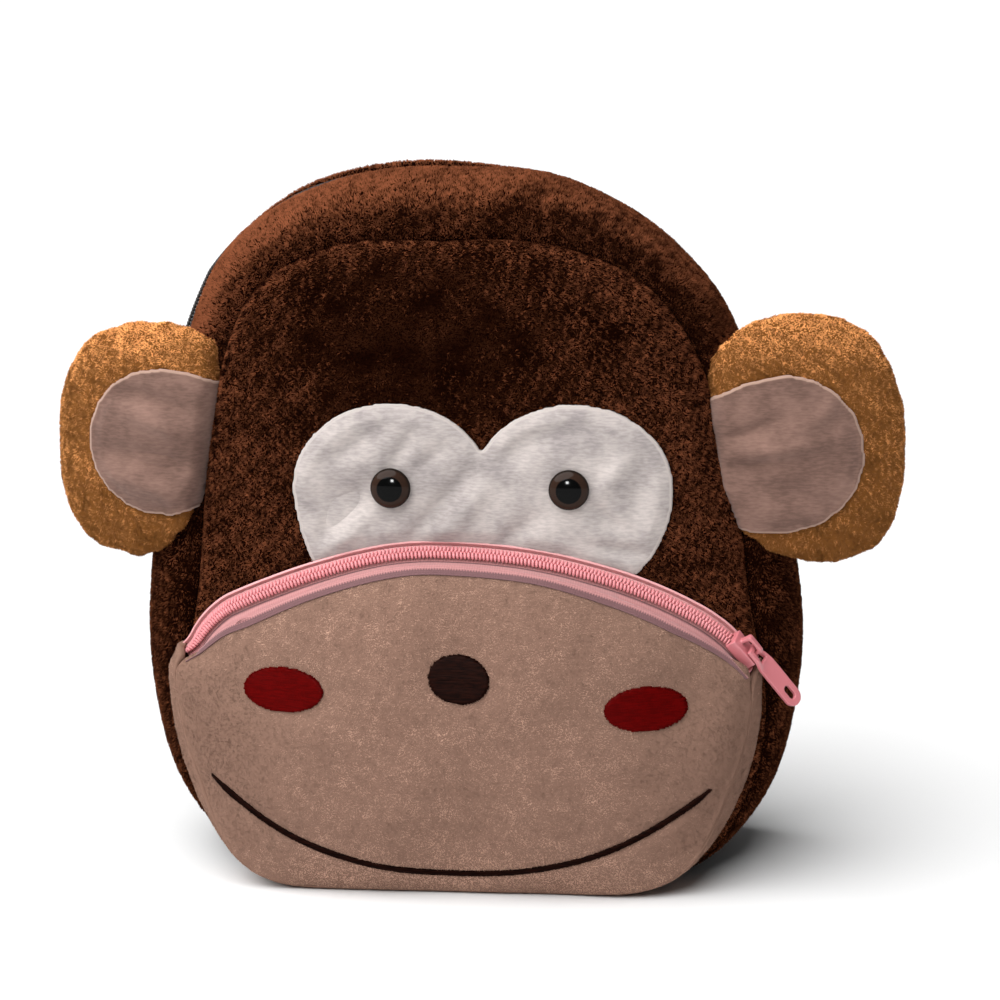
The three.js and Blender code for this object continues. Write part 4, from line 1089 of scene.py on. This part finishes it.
# The stitched cheeks, nose and smile: satin stitch in red and dark brown thread, in rows of short
# straight stitches. The cheeks and the nose have a thin underlay below the rows.
THREAD_WIDE = 0.55 * MM
THREAD_HIGH = 0.5 * MM
ROW_PITCH = 0.42 * MM
STITCH_LONG = 5.5 * MM
STITCH_LIFT = 0.30 * MM
STITCH_STRAY = 0.12
STITCH_LEAST = 0.6 * MM
ROW_PAST = 0.5
UNDERLAY_CELL = 0.65 * MM
UNDERLAY_SUNK = 0.45 * MM
SMILE_TURNS = (-0.697, 0.69)
SMILE_WIDE = 2.1 * MM
SMILE_HIGH = 0.9 * MM
SMILE_LIFT = 0.25 * MM
SMILE_SLANT = 0.0025
SMILE_STRAY = (0.9, 1.12)
SMILE_END = {"turn": 0.70, "fade": 0.07, "least": 0.25}
RED_LOW = (0.060, 0.0001, 0.0001, 1)
RED_HIGH = (0.092, 0.0003, 0.0003, 1)
NOSE_LOW = (0.004, 0.0008, 0.0004, 1)
NOSE_HIGH = (0.014, 0.0031, 0.0016, 1)


def thread(name, low, high):
    """Rayon thread, its tone changing a little from row to row."""
    material, shader, wire = surface(name, {"Roughness": 0.5, "Specular IOR Level": 0.02})
    tone = wire.noise(scale=1.0, detail=2.0, stretch=(250, 250, 2200))
    wire.feed(shader.inputs["Base Color"], tone.step(0.3, 0.7).mix(low, high))
    return material


def satin_oval(name, node, oval, seed):
    """An oval filled with rows of stitches over an underlay that is sunk a little."""
    rng = np.random.default_rng(seed)
    underlay = sewn_copy(name, node)
    finish_with(underlay, "REMESH", mode="VOXEL", voxel_size=UNDERLAY_CELL)
    place = points_of(underlay)
    for point in place:
        hit, _ = front_of(muzzle_tree, point[0], point[2])
        drawn, _ = front_of(muzzle_drawn, point[0], point[2])
        if hit and drawn:
            point[1] += hit.y - drawn.y + UNDERLAY_SUNK
    move_points(underlay, place)
    cos = math.cos(oval["turn"])
    sin = math.sin(oval["turn"])
    starts = []
    ends = []
    outs = []
    for v in np.arange(-oval["tall"] + ROW_PITCH, oval["tall"], ROW_PITCH):
        half = oval["wide"] * math.sqrt(max(0, 1 - (v / oval["tall"]) ** 2))
        stops = np.arange(-half + rng.uniform(-1, 0) * STITCH_LONG, half, STITCH_LONG)
        left_end = -half - rng.uniform(0, ROW_PAST) * MM
        right_end = half + rng.uniform(0, ROW_PAST) * MM
        stops = np.concatenate([[left_end], stops[stops > -half], [right_end]])
        for u0, u1 in zip(stops, stops[1:]):
            if u1 - u0 < STITCH_LEAST:
                continue
            spots = [(oval["x"] + u * cos - v * sin, oval["z"] + u * sin + v * cos) for u in (u0, u1)]
            (first, facing), (last, _) = (front_of(muzzle_tree, x, z) for x, z in spots)
            lift = facing * (STITCH_LIFT + rng.uniform(0, STITCH_STRAY) * MM)
            starts.append(first + lift)
            ends.append(last + lift)
            outs.append(facing)
    rows = [np.array(part) for part in (starts, ends, outs)]
    return joined(underlay, strung(name + "_rows", stitch, *rows, THREAD_WIDE, THREAD_HIGH))


muzzle_drawn = cad_tree("muzzle_front")
red_thread = thread("thread_red", RED_LOW, RED_HIGH)
brown_thread = thread("thread_brown", NOSE_LOW, NOSE_HIGH)
for seed, node in enumerate(OVALS):
    satin = satin_oval(node + "_satin", node, ovals[node], seed)
    if node == "nose":
        put(satin, brown_thread, "thread_brown", node)
    else:
        put(satin, red_thread, "thread_red", node)

starts = []
ends = []
outs = []
rng = np.random.default_rng(9)
for turn in np.arange(*SMILE_TURNS, ROW_PITCH / SMILE_RADIUS):
    taper = min(1, SMILE_END["least"] + (SMILE_END["turn"] - abs(turn)) / SMILE_END["fade"])
    half = SMILE_WIDE / 2 * taper * rng.uniform(*SMILE_STRAY)
    for sign, rows in ((-1, starts), (1, ends)):
        reach = SMILE_RADIUS + sign * half
        angle = turn + sign * SMILE_SLANT
        x = smile_x + reach * math.sin(angle)
        z = smile_z - reach * math.cos(angle)
        hit, facing = front_of(muzzle_tree, x, z)
        rows.append(hit + facing * SMILE_LIFT)
    outs.append(facing)
rows = [np.array(part) for part in (starts, ends, outs)]
smile = strung("smile_satin", stitch, *rows, THREAD_WIDE, SMILE_HIGH)
put(smile, brown_thread, "thread_brown", "smile")


# The pocket zip, in pink: a woven tape on each side, two rows of nylon teeth, a lacquered slider with
# a bridge, and a flat pull with a raised rim that hangs from the bridge.
ZIP_TURN = math.radians(25)
UPPER_TURNED = ((-3.9, 1.3), (-4.1, 0.7), (-4.2, 0.0), (-4.0, -0.9))
UPPER_FLAT = (-3.4, -2.6, -1.4, -0.2)
LOWER_FLAT = (0.2, 1.4, 2.6, 3.4)
SEAM_OVER = 5.2 * MM
POCKET_DROP = 1.5 * MM
DRAPE_STEP = 0.95 * MM
DRAPE_ROWS = 7
DRAPE_TAPER = 35 * MM
DRAPE_LEAST = 0.35
DRAPE_LIFT = 0.55 * MM
DRAPE_EASE = 6
PINK_LOW = (0.58, 0.190, 0.207, 1)
PINK_HIGH = (0.76, 0.285, 0.300, 1)
TAPE_LOW = (0.36, 0.15, 0.15, 1)
TAPE_HIGH = (0.46, 0.215, 0.21, 1)
MAUVE = (0.15, 0.068, 0.072, 1)
# Painted highlight: the upper tape is the same pink tape, made paler as if lit.
UPPER_LIT_LOW = (0.60, 0.27, 0.275, 1)
UPPER_LIT_HIGH = (0.74, 0.37, 0.37, 1)
LACQUER = (0.56, 0.17, 0.19, 1)
TAPE_RIBS = 60.0
TAPE_PICKS_PER_MM = 7.0
TAPE_BAND = {"from": 0.72, "to": 0.80, "zigzag": 0.16}
# Painted shadow: a dark line along the tape just beside the coil.
TAPE_COIL_SHADOW = (0.24, 0.27, 0.29, 0.33)
SLIDER_TAPER = 0.35
SLIDER_STEPS = 12
PULL_RIM = 0.75 * MM
PULL_SUNK = 0.28 * MM
PULL_EDGE = 0.25 * MM
PULL_RIM_FACING = 0.55
PULL_FLAT_FACING = 0.9
PULL_TURN = math.radians(26)
PULL_NECK = 4 * MM
FRONT_ABOVE = Vector((0.0, -1.0, 0.2))


def tape_weave(name, low, high, edge, length):
    """Woven polyester tape: fine ribs along it, a darker stitched band at its far edge, and a painted shadow
    line beside the coil.
    """
    material, shader, wire = surface(name, {
        "Roughness": 0.75, "Specular IOR Level": 0.25, "Sheen Weight": 0.2,
    })
    flat = wire.node("UVMap", {"uv_map": "UVMap"})
    split = wire.node("SeparateXYZ", sockets={"Vector": flat})
    over = Wire(split.tree, split.socket.node.outputs["X"])
    run = Wire(split.tree, split.socket.node.outputs["Y"]) * (length / MM)
    rib = wire.math("SINE", over * TAPE_RIBS) * 0.25 + wire.math("SINE", run * TAPE_PICKS_PER_MM) * 0.25 + 0.5
    zigzag = wire.math("PINGPONG", run, 0.5)
    band = (over + zigzag * TAPE_BAND["zigzag"]).step(TAPE_BAND["from"], TAPE_BAND["to"])
    # Painted shadow: a dark line along the tape just beside the coil, in the band's colour.
    coil_shadow = over.step(*TAPE_COIL_SHADOW[:2]) * (1 - over.step(*TAPE_COIL_SHADOW[2:]))
    wire.feed(shader.inputs["Base Color"], band.mix(coil_shadow.mix(rib.mix(low, high), edge), edge))
    wire.bump(shader, strength=0.5, deep=0.15 * MM, height=rib)
    return material


pocket_line = zip_line("pocket_zip_coil", toward=(0, -1, 0), turn=ZIP_TURN)
pocket_line["middle"] = settled(pocket_line["middle"], *POCKET_LEVEL)
pocket_length = (len(pocket_line["middle"]) - 1) * COIL_STEP
zip_pink = nylon("zip_pink", PINK_LOW, PINK_HIGH, roughness=0.42)
tape_pink = tape_weave("tape_pink", TAPE_LOW, TAPE_HIGH, MAUVE, pocket_length)
upper_columns = [beside(pocket_line, over * MM, -up * MM, "ledge", "rise") for over, up in UPPER_TURNED]
upper_columns += [beside(pocket_line, over * MM, POCKET_DROP) for over in UPPER_FLAT]
upper_tape = ribbon("pocket_tape_upper_woven", upper_columns, pocket_line["out"], TAPE_THICK)
# Painted highlight: the upper tape is the same pink tape as the lower one, made paler as if lit.
tape_lit = nylon("tape_lit", UPPER_LIT_LOW, UPPER_LIT_HIGH, roughness=0.6)
put(upper_tape, tape_lit, "zip_pink", "pocket_tape_upper")
lower_columns = [beside(pocket_line, over * MM, POCKET_DROP) for over in LOWER_FLAT]
seam_edge = beside(pocket_line, SEAM_OVER, POCKET_DROP, "ledge", "rise")
run = np.arange(len(seam_edge)) * COIL_STEP
narrow = DRAPE_LEAST + (1 - DRAPE_LEAST) * ramp(np.minimum(run, run[-1] - run), 0, DRAPE_TAPER)
for row in range(DRAPE_ROWS):
    column = []
    for point in seam_edge + pocket_line["ledge"] * (row * DRAPE_STEP * narrow)[:, None]:
        ground, facing, _, _ = muzzle_tree.find_nearest(Vector(point))
        column.append(ground + facing * DRAPE_LIFT)
    column = np.pad(column, ((DRAPE_EASE, DRAPE_EASE), (0, 0)), mode="edge")
    nearby = [column[shift:shift + len(seam_edge)] for shift in range(2 * DRAPE_EASE + 1)]
    lower_columns.append(np.mean(nearby, 0))
lower_tape = ribbon("pocket_tape_lower_woven", lower_columns, pocket_line["out"], TAPE_THICK)
put(lower_tape, tape_pink, "zip_pink", "pocket_tape_lower")
pocket_teeth = zip_teeth("pocket_zip_teeth", pocket_line)
put(pocket_teeth, zip_pink, "zip_pink", "pocket_zip_coil")

lacquer, _, _ = surface("plastic_pink", {
    "Base Color": LACQUER, "Roughness": 0.35, "Coat Weight": 0.5, "Coat Roughness": 0.15,
})
slider = cast_part("pocket_slider_cast", "pocket_slider", cell=0.22 * MM, passes=16)
place = points_of(slider)
middle = place.mean(0)
nearest = np.linalg.norm(pocket_line["middle"] - middle, axis=1).argmin()
along = unit(pocket_line["middle"][nearest] - pocket_line["middle"][nearest - SLIDER_STEPS])
across = pocket_line["ledge"][nearest]
run = (place - middle) @ along
narrow = SLIDER_TAPER * np.clip(0.5 + run / np.ptp(run), 0, 1) ** 1.5
move_points(slider, place - across * (((place - pocket_line["middle"][nearest]) @ across) * narrow)[:, None])
put(slider, lacquer, "plastic_pink", "pocket_slider")

hinge = frame["joints"][0]
pivot = Vector(hinge["pos_m"])
pull = cast_part("pocket_pull_cast", "pocket_pull", cell=0.2 * MM, passes=6)
middle = sum((point.co for point in pull.data.vertices), Vector()) / len(pull.data.vertices)
axle = Vector(hinge["axis"]).normalized()
down = (middle - pivot) - axle * (middle - pivot).dot(axle)
plate = down.cross(axle).normalized()
place = points_of(pull)
normal = normals_of(pull)
facing = normal @ np.array(plate)
rim = place[np.abs(facing) < PULL_RIM_FACING]
from_rim = np.array([np.linalg.norm(rim - point, axis=1).min() for point in place])
sunk = PULL_SUNK * np.clip((from_rim - PULL_RIM) / PULL_EDGE, 0, 1) * (np.abs(facing) > PULL_FLAT_FACING)
move_points(pull, place - np.array(plate) * (np.sign(facing) * sunk)[:, None])
finish_with(pull, "SMOOTH", factor=0.5, iterations=2)
length = down.normalized()
place = points_of(pull)
along = (place - np.array(pivot)) @ np.array(length)
side = plate.dot(FRONT_ABOVE) * length.cross(plate).dot(FRONT_ABOVE)
turn = math.copysign(PULL_TURN, side) * np.clip((along - PULL_NECK) / PULL_NECK, 0, 1)
from_axis = place - np.array(pivot) - along[:, None] * np.array(length)
turned = from_axis * np.cos(turn)[:, None] + np.cross(np.array(length), from_axis) * np.sin(turn)[:, None]
move_points(pull, np.array(pivot) + along[:, None] * np.array(length) + turned)
bpy.ops.object.shade_smooth()
put(pull, lacquer, "plastic_pink", "pocket_pull", body="pull")


# The shoulder straps, hidden behind the bag and plain: padded tops in the brown plush, filled by cloth
# simulation, then flat ribbed webbing, joined by moulded ladder buckles.
PAD_FILLING = {
    "cell": 4 * MM, "slim": 0.8 * MM, "most": 1.8 * MM, "pressure": 4, "passes": 8, "plump": 0.6 * MM,
}
PAD_TRIM = 0.8 * MM
WEBBING_ROUND = 0.3 * MM
WEBBING_LOW = (0.018, 0.009, 0.006, 1)
WEBBING_HIGH = (0.050, 0.026, 0.017, 1)

webbing_cloth, webbing_shader, webbing_wire = surface("webbing_brown", {
    "Roughness": 0.7, "Sheen Weight": 0.2,
})
webbing_place = webbing_wire.node("TexCoord", output="Object")
webbing_rib = webbing_wire.node(
    "TexWave", {"wave_type": "BANDS", "bands_direction": "Z"},
    {"Vector": webbing_place, "Scale": 180.0, "Distortion": 0.6, "Detail": 1.0}, output="Fac")
webbing_wire.feed(webbing_shader.inputs["Base Color"], webbing_rib.mix(WEBBING_LOW, WEBBING_HIGH))
webbing_wire.bump(webbing_shader, strength=0.6, deep=0.3 * MM, height=webbing_rib)
pads = {}
for side in ("left", "right"):
    pad = stuffed(f"strap_pad_{side}_plush", f"strap_pad_{side}", **PAD_FILLING)
    move_points(pad, fitted(pad, f"strap_pad_{side}", PAD_TRIM))
    put(pad, brown, "plush_brown", f"strap_pad_{side}")
    pads[side] = pad
    webbing = sewn_copy(f"strap_webbing_{side}_woven", f"strap_webbing_{side}")
    finish_with(
        webbing, "BEVEL", width=WEBBING_ROUND, segments=2, limit_method="ANGLE", angle_limit=math.radians(50),
    )
    bpy.ops.object.shade_smooth_by_angle(angle=math.radians(40))
    put(webbing, webbing_cloth, "webbing_brown", f"strap_webbing_{side}")
    buckle = cast_part(f"strap_buckle_{side}_cast", f"strap_buckle_{side}", cell=0.5 * MM, passes=4)
    put(buckle, plastic_dark, "plastic_dark", f"strap_buckle_{side}")


# The pile: every plush piece is brushed last, with short tufts standing on its outer side. They are
# left off where a patch, a pocket or stitching lies over the cloth.
NAP = {"span": 4.5 * MM, "wave": 0.7, "stray": 0.45}
TALL = {"usual": 0.9, "span": 3.2 * MM, "wave": 0.1, "stray": 0.15}
LEAN = {"span": 3.8 * MM, "wave": 5, "stray": 6}
TONE_BROAD = {"span": 16 * MM, "wave": 0.12}
TONE_FINE = {"span": 5 * MM, "wave": 0.14}
TONE_STRAY = 0.17
FACING_STRAY = 0.1
CLUMP_SPAN = 2.3 * MM
SEAM_CLIP = {"span": 4 * MM, "least": 0.4}
# Painted shade on pile that faces the front, so its turning edges look lit as by a sheen.
FRONT_SHADE_FACING = (0.72, 0.97)
# Painted shade: a dark patch in the middle of the forehead.
FOREHEAD_SHADE = {"x": -20, "z": 197, "wide": 48, "tall": 34, "deep": 0.85}
# Painted light on the face panel's top rim along its seam.
FACE_RIM_LIGHT = {"pale": 0.4, "reach": 7 * MM, "from": 130 * MM, "to": 180 * MM}
# Painted light on the ear tops and on pile that faces up, painted shade toward the ear feet.
EAR_TOP_LIGHT_FOOT_SHADE = {"height": 0.95, "span": 22 * MM, "facing": 0.7, "from": 0.15, "foot": 0.35}
# Painted light and shade on the front band: paler toward its left, darker toward its right.
BAND_RIGHT_SHADE = {"dark": 0.3, "span": 100 * MM}
# Painted light on the low part of the muzzle.
MUZZLE_LOW_LIGHT = {"pale": 0.8, "up_to": 24 * MM}
# Painted shade on the muzzle's lower sides.
MUZZLE_SIDE_SHADE = {"dark": 0.85, "from": 54 * MM, "to": 94 * MM, "below": 94 * MM, "full": 66 * MM}
# How much of each tuft's own tone shows at its root, over the painted root shade.
ROOT_SHADE_LIFT = {"least": 0.2, "more": 0.55}
BASE_BARE = 1.5 * MM
FLOOR_GAP = 0.1 * MM
MAP_HALF = (0.49, 0.99)
MAP_RIGHT = (0.505, 0)
TUFT_ON_MAP = 1.5 / 2048
ARCH = {"nap": (0, 0.7, 0), "spread": (0.4, 0.5, 0.4), "turned": 1, "long": 1.2}
EAR_PILE = {
    "over": "ears", "shade": -0.26, "front_shade": 0.1, "clump": 0.24, "per_mm2": 5.0, "long": 0.95, "wide": 0.41,
    "spread": (0.9, 0.6, 0.8),
}
PAD_PILE = {
    "shade": 0.16, "per_mm2": 1.8, "long": 1.3, "wide": 0.56, "lean": 56, "nap": (0, 0, -0.6),
    "spread": (0.7, 0.7, 0.7),
}
PILE = (
    {"piece": shell["face_panel"], "over": "face", "shade": 0.12, "front_shade": 0.25, "clump": 0.32,
     "per_mm2": 5.5, "long": 1.2, "wide": 0.42, "nap": (0.1, 0, -0.3), "spread": (1.0, 0.4, 0.35)},
    {"piece": shell["arch_band_front"], "shade": 0.16, "front_shade": 0.42, "per_mm2": 5.5, "wide": 0.43, **ARCH},
    {"piece": shell["arch_band_back"], "shade": 0.3, "per_mm2": 2.9, "wide": 0.48, **ARCH},
    # The base gusset's low shade value is painted shade on the bag's sides and bottom.
    {"piece": shell["base_gusset"], "shade": -0.34, "per_mm2": 2.7, "long": 1.2, "wide": 0.49,
     "nap": (0, 0.5, -0.5), "spread": (0.5, 0.5, 0.5), "turned": -1},
    {"piece": shell["back_panel"], "shade": -0.06, "per_mm2": 1.4, "long": 1.4, "wide": 0.64, "lean": 58,
     "nap": (0, 0, -0.6), "spread": (0.8, 0.5, 0.6)},
    {"piece": ears["left"], "nap": (-0.2, 0.2, -0.3), **EAR_PILE},
    {"piece": ears["right"], "nap": (0.2, 0.2, -0.3), **EAR_PILE},
    {"piece": muzzle, "over": "muzzle", "clump": 0.12, "per_mm2": 4.1, "long": 0.7, "wide": 0.275, "lean": 62,
     "nap": (0.2, 0, -0.2), "spread": (1.0, 0.3, 0.25)},
    {"piece": gusset, "per_mm2": 4.0, "long": 0.7, "wide": 0.28, "lean": 60, "nap": (0, 0.3, -0.4),
     "spread": (0.5, 0.5, 0.5), "turned": -1},
    {"piece": pads["left"], **PAD_PILE},
    {"piece": pads["right"], **PAD_PILE},
)
COVERS = {
    "face": {
        "nodes": ("eye_left", "eye_right"), "pieces": (eye_patch, muzzle, gusset, upper_tape, lower_tape),
        "reach": 60 * MM,
    },
    "muzzle": {
        "nodes": ("cheek_left", "cheek_right", "nose", "smile"), "pieces": (lower_tape,), "reach": 60 * MM,
    },
    "ears": {"nodes": (), "pieces": inner_ears, "reach": 8 * MM},
}
FORWARD = Vector((0, -1, 0))


def map_place(place, low, high, turned):
    """Where points lie on a piece's flat map: as seen from the front, or unrolled around the bag."""
    share = (place - low) / (high - low)
    if turned:
        middle = (low + high) / 2
        round_it = np.arctan2(place[:, 0] - middle[0], turned * (place[:, 2] - middle[2]))
        return np.column_stack([round_it / (2 * math.pi) + 0.5, share[:, 1]])
    return share[:, [0, 2]]


def lay_maps(piece, tufts, root, turned):
    """Gives a piece and its tufts one flat map, the cloth in its left half and the tufts in its right."""
    place = points_of(piece).astype(float)
    low = place.min(0)
    high = place.max(0)
    spots = map_place(root, low, high, turned) * MAP_HALF + MAP_RIGHT
    spots = spots[:, None] + np.array([[-TUFT_ON_MAP, 0], [TUFT_ON_MAP, 0], [0, 3 * TUFT_ON_MAP]])
    loop = array_of(piece.data.loops, "vertex_index", 1, np.int32)[:, 0]
    cloth = map_place(place, low, high, turned)[loop] * MAP_HALF
    for mesh, flat in ((tufts.data, spots), (piece.data, cloth)):
        mesh.uv_layers.new(name="OFBake").uv.foreach_set("vector", flat.astype(np.float32).ravel())


def tuft_tones(rng, seed, piece, root, out, seam, shade, front_shade, clump):
    """How pale each tuft is: in clouds and clumps, with painted light and shade on each piece."""
    tone = 0.5 + shade + TONE_BROAD["wave"] * waves(root, TONE_BROAD["span"], seed + 15)
    tone += TONE_FINE["wave"] * waves(root, TONE_FINE["span"], seed + 17)
    tone += clump * waves(root, CLUMP_SPAN, seed + 19) + rng.normal(scale=TONE_STRAY, size=len(root))
    # Painted shade: pile that faces the front is darker, so the edges where it turns away look lit.
    tone -= front_shade * ramp(-out[:, 1], *FRONT_SHADE_FACING)
    x, _, z = root.T
    if piece == shell["face_panel"]:
        # Painted shade: a dark patch in the middle of the forehead.
        above = (z / MM - FOREHEAD_SHADE["z"]) * FOREHEAD_SHADE["wide"] / FOREHEAD_SHADE["tall"]
        away = np.hypot(x / MM - FOREHEAD_SHADE["x"], above)
        tone -= FOREHEAD_SHADE["deep"] * np.exp(-(away / FOREHEAD_SHADE["wide"]) ** 2)
        # Painted light: the face panel's top rim along its seam is paler.
        rim = np.exp(-seam / FACE_RIM_LIGHT["reach"]) * ramp(z, FACE_RIM_LIGHT["from"], FACE_RIM_LIGHT["to"])
        tone += FACE_RIM_LIGHT["pale"] * rim
    if piece in ears.values():
        # Painted light on the ear tops and on pile that faces up, painted shade toward the ear feet.
        height = points_of(piece)[:, 2].astype(float)
        tone += EAR_TOP_LIGHT_FOOT_SHADE["height"] * np.clip(1 + (z - height.max()) / EAR_TOP_LIGHT_FOOT_SHADE["span"], 0, 1)
        tone += EAR_TOP_LIGHT_FOOT_SHADE["facing"] * np.clip(out[:, 2] - EAR_TOP_LIGHT_FOOT_SHADE["from"], 0, 1)
        tone -= EAR_TOP_LIGHT_FOOT_SHADE["foot"] * np.clip(1 - (z - height.min()) / EAR_TOP_LIGHT_FOOT_SHADE["span"], 0, 1)
    if piece == shell["arch_band_front"]:
        # Painted light and shade: the front band is paler toward its left and darker toward its right.
        tone -= BAND_RIGHT_SHADE["dark"] * x / BAND_RIGHT_SHADE["span"]
    if piece in (muzzle, gusset):
        # Painted light on the low muzzle, painted shade on its lower sides.
        tone += MUZZLE_LOW_LIGHT["pale"] * np.clip(1 - z / MUZZLE_LOW_LIGHT["up_to"], 0, 1)
        side_shade = ramp(np.abs(x), MUZZLE_SIDE_SHADE["from"], MUZZLE_SIDE_SHADE["to"])
        side_shade *= ramp(z, MUZZLE_SIDE_SHADE["below"], MUZZLE_SIDE_SHADE["full"])
        tone -= MUZZLE_SIDE_SHADE["dark"] * side_shade
    return np.clip(tone, 0, 1)


def brush_pile(
    seed, piece, per_mm2, long, wide, nap, spread, over=None, shade=0, front_shade=0, clump=0.2, lean=54, turned=0,
):
    """Sews short tufts of pile over a piece's outer side, each one leaning its own way."""
    rng = np.random.default_rng(seed)
    mesh = piece.data
    mesh.calc_loop_triangles()
    corner = array_of(mesh.loop_triangles, "vertices", 3, np.int32)
    normal = normals_of(piece).astype(float)
    edges = points_of(piece).astype(float)[corner]
    flat = np.cross(edges[:, 1] - edges[:, 0], edges[:, 2] - edges[:, 0])
    area = np.linalg.norm(flat, axis=1) / 2
    if "outer" in mesh.attributes:
        area[marks_of(piece, "outer")[corner].min(1) < 0.5] = 0
    area[edges[:, :, 2].max(1) < BASE_BARE] = 0
    pick = rng.choice(len(area), int(area.sum() / MM ** 2 * per_mm2), p=area / area.sum())
    share = rng.dirichlet((1, 1, 1), len(pick))
    root = np.einsum("ij,ijk->ik", share, edges[pick])
    out = unit(np.einsum("ij,ijk->ik", share, normal[corner[pick]]))
    seam = np.full(len(normal), 1.0)
    if "from_seam" in mesh.attributes:
        seam = marks_of(piece, "from_seam")
    seam = np.sum(share * seam[corner[pick]], 1)
    if over:
        reach = COVERS[over]["reach"]
        bare = np.array([covers[over].ray_cast(Vector(point), FORWARD, reach)[0] is None for point in root])
        root, out, seam = (rows[bare] for rows in (root, out, seam))
    way = np.column_stack([waves(root, NAP["span"], seed + 31 * axis) for axis in (1, 2, 3)])
    way = (way * NAP["wave"] + rng.normal(scale=NAP["stray"], size=way.shape)) * spread + nap
    way = unit(way - out * np.sum(way * out, 1, keepdims=True))
    tall = TALL["usual"] + TALL["wave"] * waves(root, TALL["span"], seed + 7)
    tall = long * MM * (tall + rng.uniform(-TALL["stray"], TALL["stray"], len(root)))
    tall *= SEAM_CLIP["least"] + (1 - SEAM_CLIP["least"]) * ramp(seam, 0, SEAM_CLIP["span"])
    lean = lean + LEAN["wave"] * waves(root, LEAN["span"], seed + 13)
    lean = np.radians(lean + rng.normal(scale=LEAN["stray"], size=len(root)))
    top = root + out * (tall * np.cos(lean))[:, None] + way * (tall * np.sin(lean))[:, None]
    side = np.cross(out, way) * wide * MM / 2
    points = np.stack([root + side, root - side, top], 1).reshape(-1, 3)
    points[:, 2] = np.maximum(points[:, 2], FLOOR_GAP)
    tufts = new_mesh("tufts", points, np.arange(len(points)).reshape(-1, 3))
    clumps = np.column_stack([waves(root, CLUMP_SPAN, seed + 41 * axis) for axis in (1, 2, 3)])
    facing = out + clumps * clump + rng.normal(scale=FACING_STRAY, size=out.shape)
    tufts.data.normals_split_custom_set_from_vertices(np.repeat(unit(facing), 3, 0).tolist())
    tone = tuft_tones(rng, seed, piece, root, out, seam, shade, front_shade, clump)
    # Each tuft runs from the painted root shade, partly lifted by its tone, to its own tone at its end.
    root_unshaded = ROOT_SHADE_LIFT["least"] + ROOT_SHADE_LIFT["more"] * tone
    mark_points(tufts, "unshaded", np.column_stack([root_unshaded, root_unshaded, np.ones(len(tone))]).ravel())
    mark_points(tufts, "tuft", np.repeat(tone, 3))
    lay_maps(piece, tufts, root, turned)
    tufts.data.materials.append(mesh.materials[0])
    joined(piece, tufts)


covers = {
    key: tree_of(*(frame["nodes"][node] for node in cover["nodes"]), *cover["pieces"])
    for key, cover in COVERS.items()
}
for seed, rows in enumerate(PILE, 100):
    brush_pile(seed, **rows)
for part in (bead, stitch):
    bpy.data.objects.remove(part)
